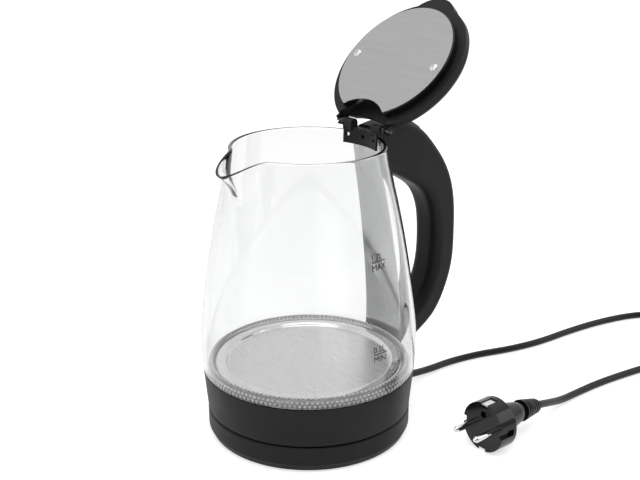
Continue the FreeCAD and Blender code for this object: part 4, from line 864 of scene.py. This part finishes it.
def buildScrewTree():
    tree, come, go = newTree("crossScrews", [
        ("Head Radius", "NodeSocketFloat", 0.003), ("Head Height", "NodeSocketFloat", 0.0014),
        ("Cross Width", "NodeSocketFloat", 0.0007), ("Cross Length", "NodeSocketFloat", 0.0035),
        ("Cross Depth", "NodeSocketFloat", 0.0009), ("Shank Radius", "NodeSocketFloat", 0.0012),
        ("Shank Length", "NodeSocketFloat", 0.008), ("Facing", "NodeSocketVector", (0.0, 0.0, 1.0)),
        ("Material", "NodeSocketMaterial", None)])
    link = tree.links.new
    # a domed head: a ball squashed and cut flat below
    ball = tree.nodes.new("GeometryNodeMeshUVSphere")
    ball.inputs["Segments"].default_value = 40
    ball.inputs["Rings"].default_value = 24
    link(come.outputs["Head Radius"], ball.inputs["Radius"])
    dome = tree.nodes.new("GeometryNodeTransform")
    link(ball.outputs["Mesh"], dome.inputs["Geometry"])
    link(combine(tree, 1.0, 1.0, mathNode(tree, "DIVIDE", come.outputs["Head Height"], come.outputs["Head Radius"])),
         dome.inputs["Scale"])
    carve = tree.nodes.new("GeometryNodeMeshBoolean")
    carve.operation = "DIFFERENCE"
    carve.solver = "EXACT"
    for turn in (0.0, math.pi / 2):
        bar = tree.nodes.new("GeometryNodeMeshCube")
        link(combine(tree, come.outputs["Cross Length"], come.outputs["Cross Width"],
                     mathNode(tree, "MULTIPLY", come.outputs["Cross Depth"], 2.0)), bar.inputs["Size"])
        lay = tree.nodes.new("GeometryNodeTransform")
        lay.inputs["Rotation"].default_value = (0.0, 0.0, turn + screwSet["crossTurn"])
        link(bar.outputs["Mesh"], lay.inputs["Geometry"])
        link(combine(tree, 0.0, 0.0, come.outputs["Head Height"]), lay.inputs["Translation"])
        link(lay.outputs["Geometry"], carve.inputs["Mesh 2"])
    under = tree.nodes.new("GeometryNodeMeshCube")
    link(combine(tree, mathNode(tree, "MULTIPLY", come.outputs["Head Radius"], 4.0),
                 mathNode(tree, "MULTIPLY", come.outputs["Head Radius"], 4.0),
                 mathNode(tree, "MULTIPLY", come.outputs["Head Height"], 4.0)), under.inputs["Size"])
    drop = tree.nodes.new("GeometryNodeTransform")
    link(under.outputs["Mesh"], drop.inputs["Geometry"])
    link(combine(tree, 0.0, 0.0, mathNode(tree, "MULTIPLY", come.outputs["Head Height"], -2.0)),
         drop.inputs["Translation"])
    link(drop.outputs["Geometry"], carve.inputs["Mesh 2"])
    link(dome.outputs["Geometry"], carve.inputs["Mesh 1"])
    shank = tree.nodes.new("GeometryNodeMeshCylinder")
    shank.inputs["Vertices"].default_value = 24
    link(come.outputs["Shank Radius"], shank.inputs["Radius"])
    link(come.outputs["Shank Length"], shank.inputs["Depth"])
    sink = tree.nodes.new("GeometryNodeTransform")
    link(shank.outputs["Mesh"], sink.inputs["Geometry"])
    link(combine(tree, 0.0, 0.0, mathNode(tree, "MULTIPLY", come.outputs["Shank Length"], -0.49)),
         sink.inputs["Translation"])
    whole = tree.nodes.new("GeometryNodeJoinGeometry")
    link(carve.outputs["Mesh"], whole.inputs["Geometry"])
    link(sink.outputs["Geometry"], whole.inputs["Geometry"])
    face = tree.nodes.new("FunctionNodeAlignRotationToVector")
    face.axis = "Z"
    link(come.outputs["Facing"], face.inputs["Vector"])
    spread = tree.nodes.new("GeometryNodeInstanceOnPoints")
    link(come.outputs["Geometry"], spread.inputs["Points"])
    link(whole.outputs["Geometry"], spread.inputs["Instance"])
    link(face.outputs["Rotation"], spread.inputs["Rotation"])
    endTree(tree, spread.outputs["Instances"], come.outputs["Material"], go)
    return tree


screwTree = buildScrewTree()


def looseSolids(node):
    # the corner points of each loose solid in a CAD node
    work = bmesh.new()
    work.from_mesh(nodes[node].data)
    bmesh.ops.remove_doubles(work, verts=work.verts, dist=1e-6)
    left, islands = set(work.verts), []
    while left:
        island, queue = [], [left.pop()]
        while queue:
            vert = queue.pop()
            island.append(vert.co.copy())
            for edge in vert.link_edges:
                other = edge.other_vert(vert)
                if other in left:
                    left.remove(other)
                    queue.append(other)
        islands.append(island)
    work.free()
    return islands


def makeScrews(name, node, body, facing, head):
    # cross-head screws where the CAD has them, heads towards facing
    axis = Vector(facing).normalized()
    headRadius, headHeight = head
    fullRadius, fullHeight = screwSet["lidHead"]
    seats = []
    for island in looseSolids(node):
        heights = [axis.dot(co) for co in island]
        top = max(heights)
        headRing = [co for co, h in zip(island, heights) if h > top - 0.0002]
        middle = sum(headRing, Vector()) / len(headRing)
        seats.append(middle - axis * headHeight * mm)
    screws = runTree(name, pointMesh(name, seats), screwTree, {
        "Head Radius": headRadius * mm,
        "Head Height": headHeight * mm,
        "Cross Width": screwSet["crossWidth"] * headRadius / fullRadius * mm,
        "Cross Length": screwSet["crossLength"] * headRadius / fullRadius * mm,
        "Cross Depth": screwSet["crossDepth"] * headHeight / fullHeight * mm,
        "Shank Radius": screwSet["shankRadius"] * mm,
        "Shank Length": screwSet["shankLength"] * mm, "Facing": tuple(axis), "Material": finishes["screw_steel"]})
    tidyMesh(screws.data)
    sharpen(screws.data, 35)
    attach(screws, body)
    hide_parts(node)


openAngle = math.radians(134.3)
plateFacing = (-math.sin(openAngle), 0.0, -math.cos(openAngle))   # the way the lid's inside faces
makeScrews("lidCrossScrews", "lid_screws", "lid", plateFacing, screwSet["lidHead"])
makeScrews("basePlateCrossScrews", "base_plate_screws", "power_base", (0.0, 0.0, -1.0), screwSet["coverHead"])
makeScrews("coverCrossScrews", "bottom_cover_screws", "jug", (0.0, 0.0, -1.0), screwSet["coverHead"])
print("screws set")


# level marks on the glass

marksSet = {
    "capHeight": 4.5, "thick": 0.06, "stroke": 0.6,
    "lines": [
        # line height, start and end angle, words above, words below
        (149.3, -91.2, -80.0, "1.7L", "MAX"),
        (85.7, -94.1, -85.3, "0.5L", "MIN")]}


def letterMesh(words):
    text = bpy.data.curves.new("levelWords", "FONT")
    text.body = words
    text.size = marksSet["capHeight"] / 0.73 * mm
    text.extrude = marksSet["thick"] / 2 * mm
    text.resolution_u = 6
    holder = bpy.data.objects.new("levelWords", text)
    scene.collection.objects.link(holder)
    bpy.context.view_layer.update()
    mesh = bpy.data.meshes.new_from_object(holder.evaluated_get(bpy.context.evaluated_depsgraph_get()))
    bpy.data.objects.remove(holder)
    return mesh


def wrapOnGlass(verts, startAngle, baseHeight):
    # flat (x, y, z) in metres to a place just outside the glass
    wrapped = []
    for x, y, z in verts:
        height = baseHeight + y / mm
        radius = glassRadius(height) + 0.04 + marksSet["thick"] / 2 + z / mm
        angle = math.radians(startAngle) + (x / mm) / glassRadius(baseHeight)
        wrapped.append((radius * math.cos(angle) * mm, radius * math.sin(angle) * mm, height * mm))
    return wrapped


def makeMarks():
    work = bmesh.new()
    for height, start, end, above, below in marksSet["lines"]:
        width = math.radians(end - start) * glassRadius(height)
        for words, base in ((above, height + 1.1), (below, height - 1.3 - marksSet["capHeight"])):
            mesh = letterMesh(words)
            places = wrapOnGlass([v.co for v in mesh.vertices], start, base)
            verts = [work.verts.new(p) for p in places]
            for face in mesh.polygons:
                work.faces.new([verts[i] for i in face.vertices])
        # the line itself, a thin closed bar
        count, half, thick = 12, marksSet["stroke"] / 2 * mm, marksSet["thick"] / 2 * mm
        corners = [(-half, -thick), (half, -thick), (half, thick), (-half, thick)]
        rings = []
        for n in range(count + 1):
            across = width * n / count * mm
            rings.append([work.verts.new(p) for p in
                          wrapOnGlass([(across, y, z) for y, z in corners], start, height)])
        for a, b in zip(rings, rings[1:]):
            for n in range(4):
                work.faces.new((a[n], a[(n + 1) % 4], b[(n + 1) % 4], b[n]))
        work.faces.new(rings[0][::-1])
        work.faces.new(rings[-1])
    mesh = bpy.data.meshes.new("levelMarks")
    work.to_mesh(mesh)
    work.free()
    tidyMesh(mesh, smooth=False)
    ink = mouldedPlastic("markInk", grey(0.002), grey(0.004), 0.5, 0.6, **{"Specular IOR Level": 0.1})
    marks = newPiece("levelMarks", mesh, ink)
    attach(marks, "jug")


makeMarks()
print("level marks printed")
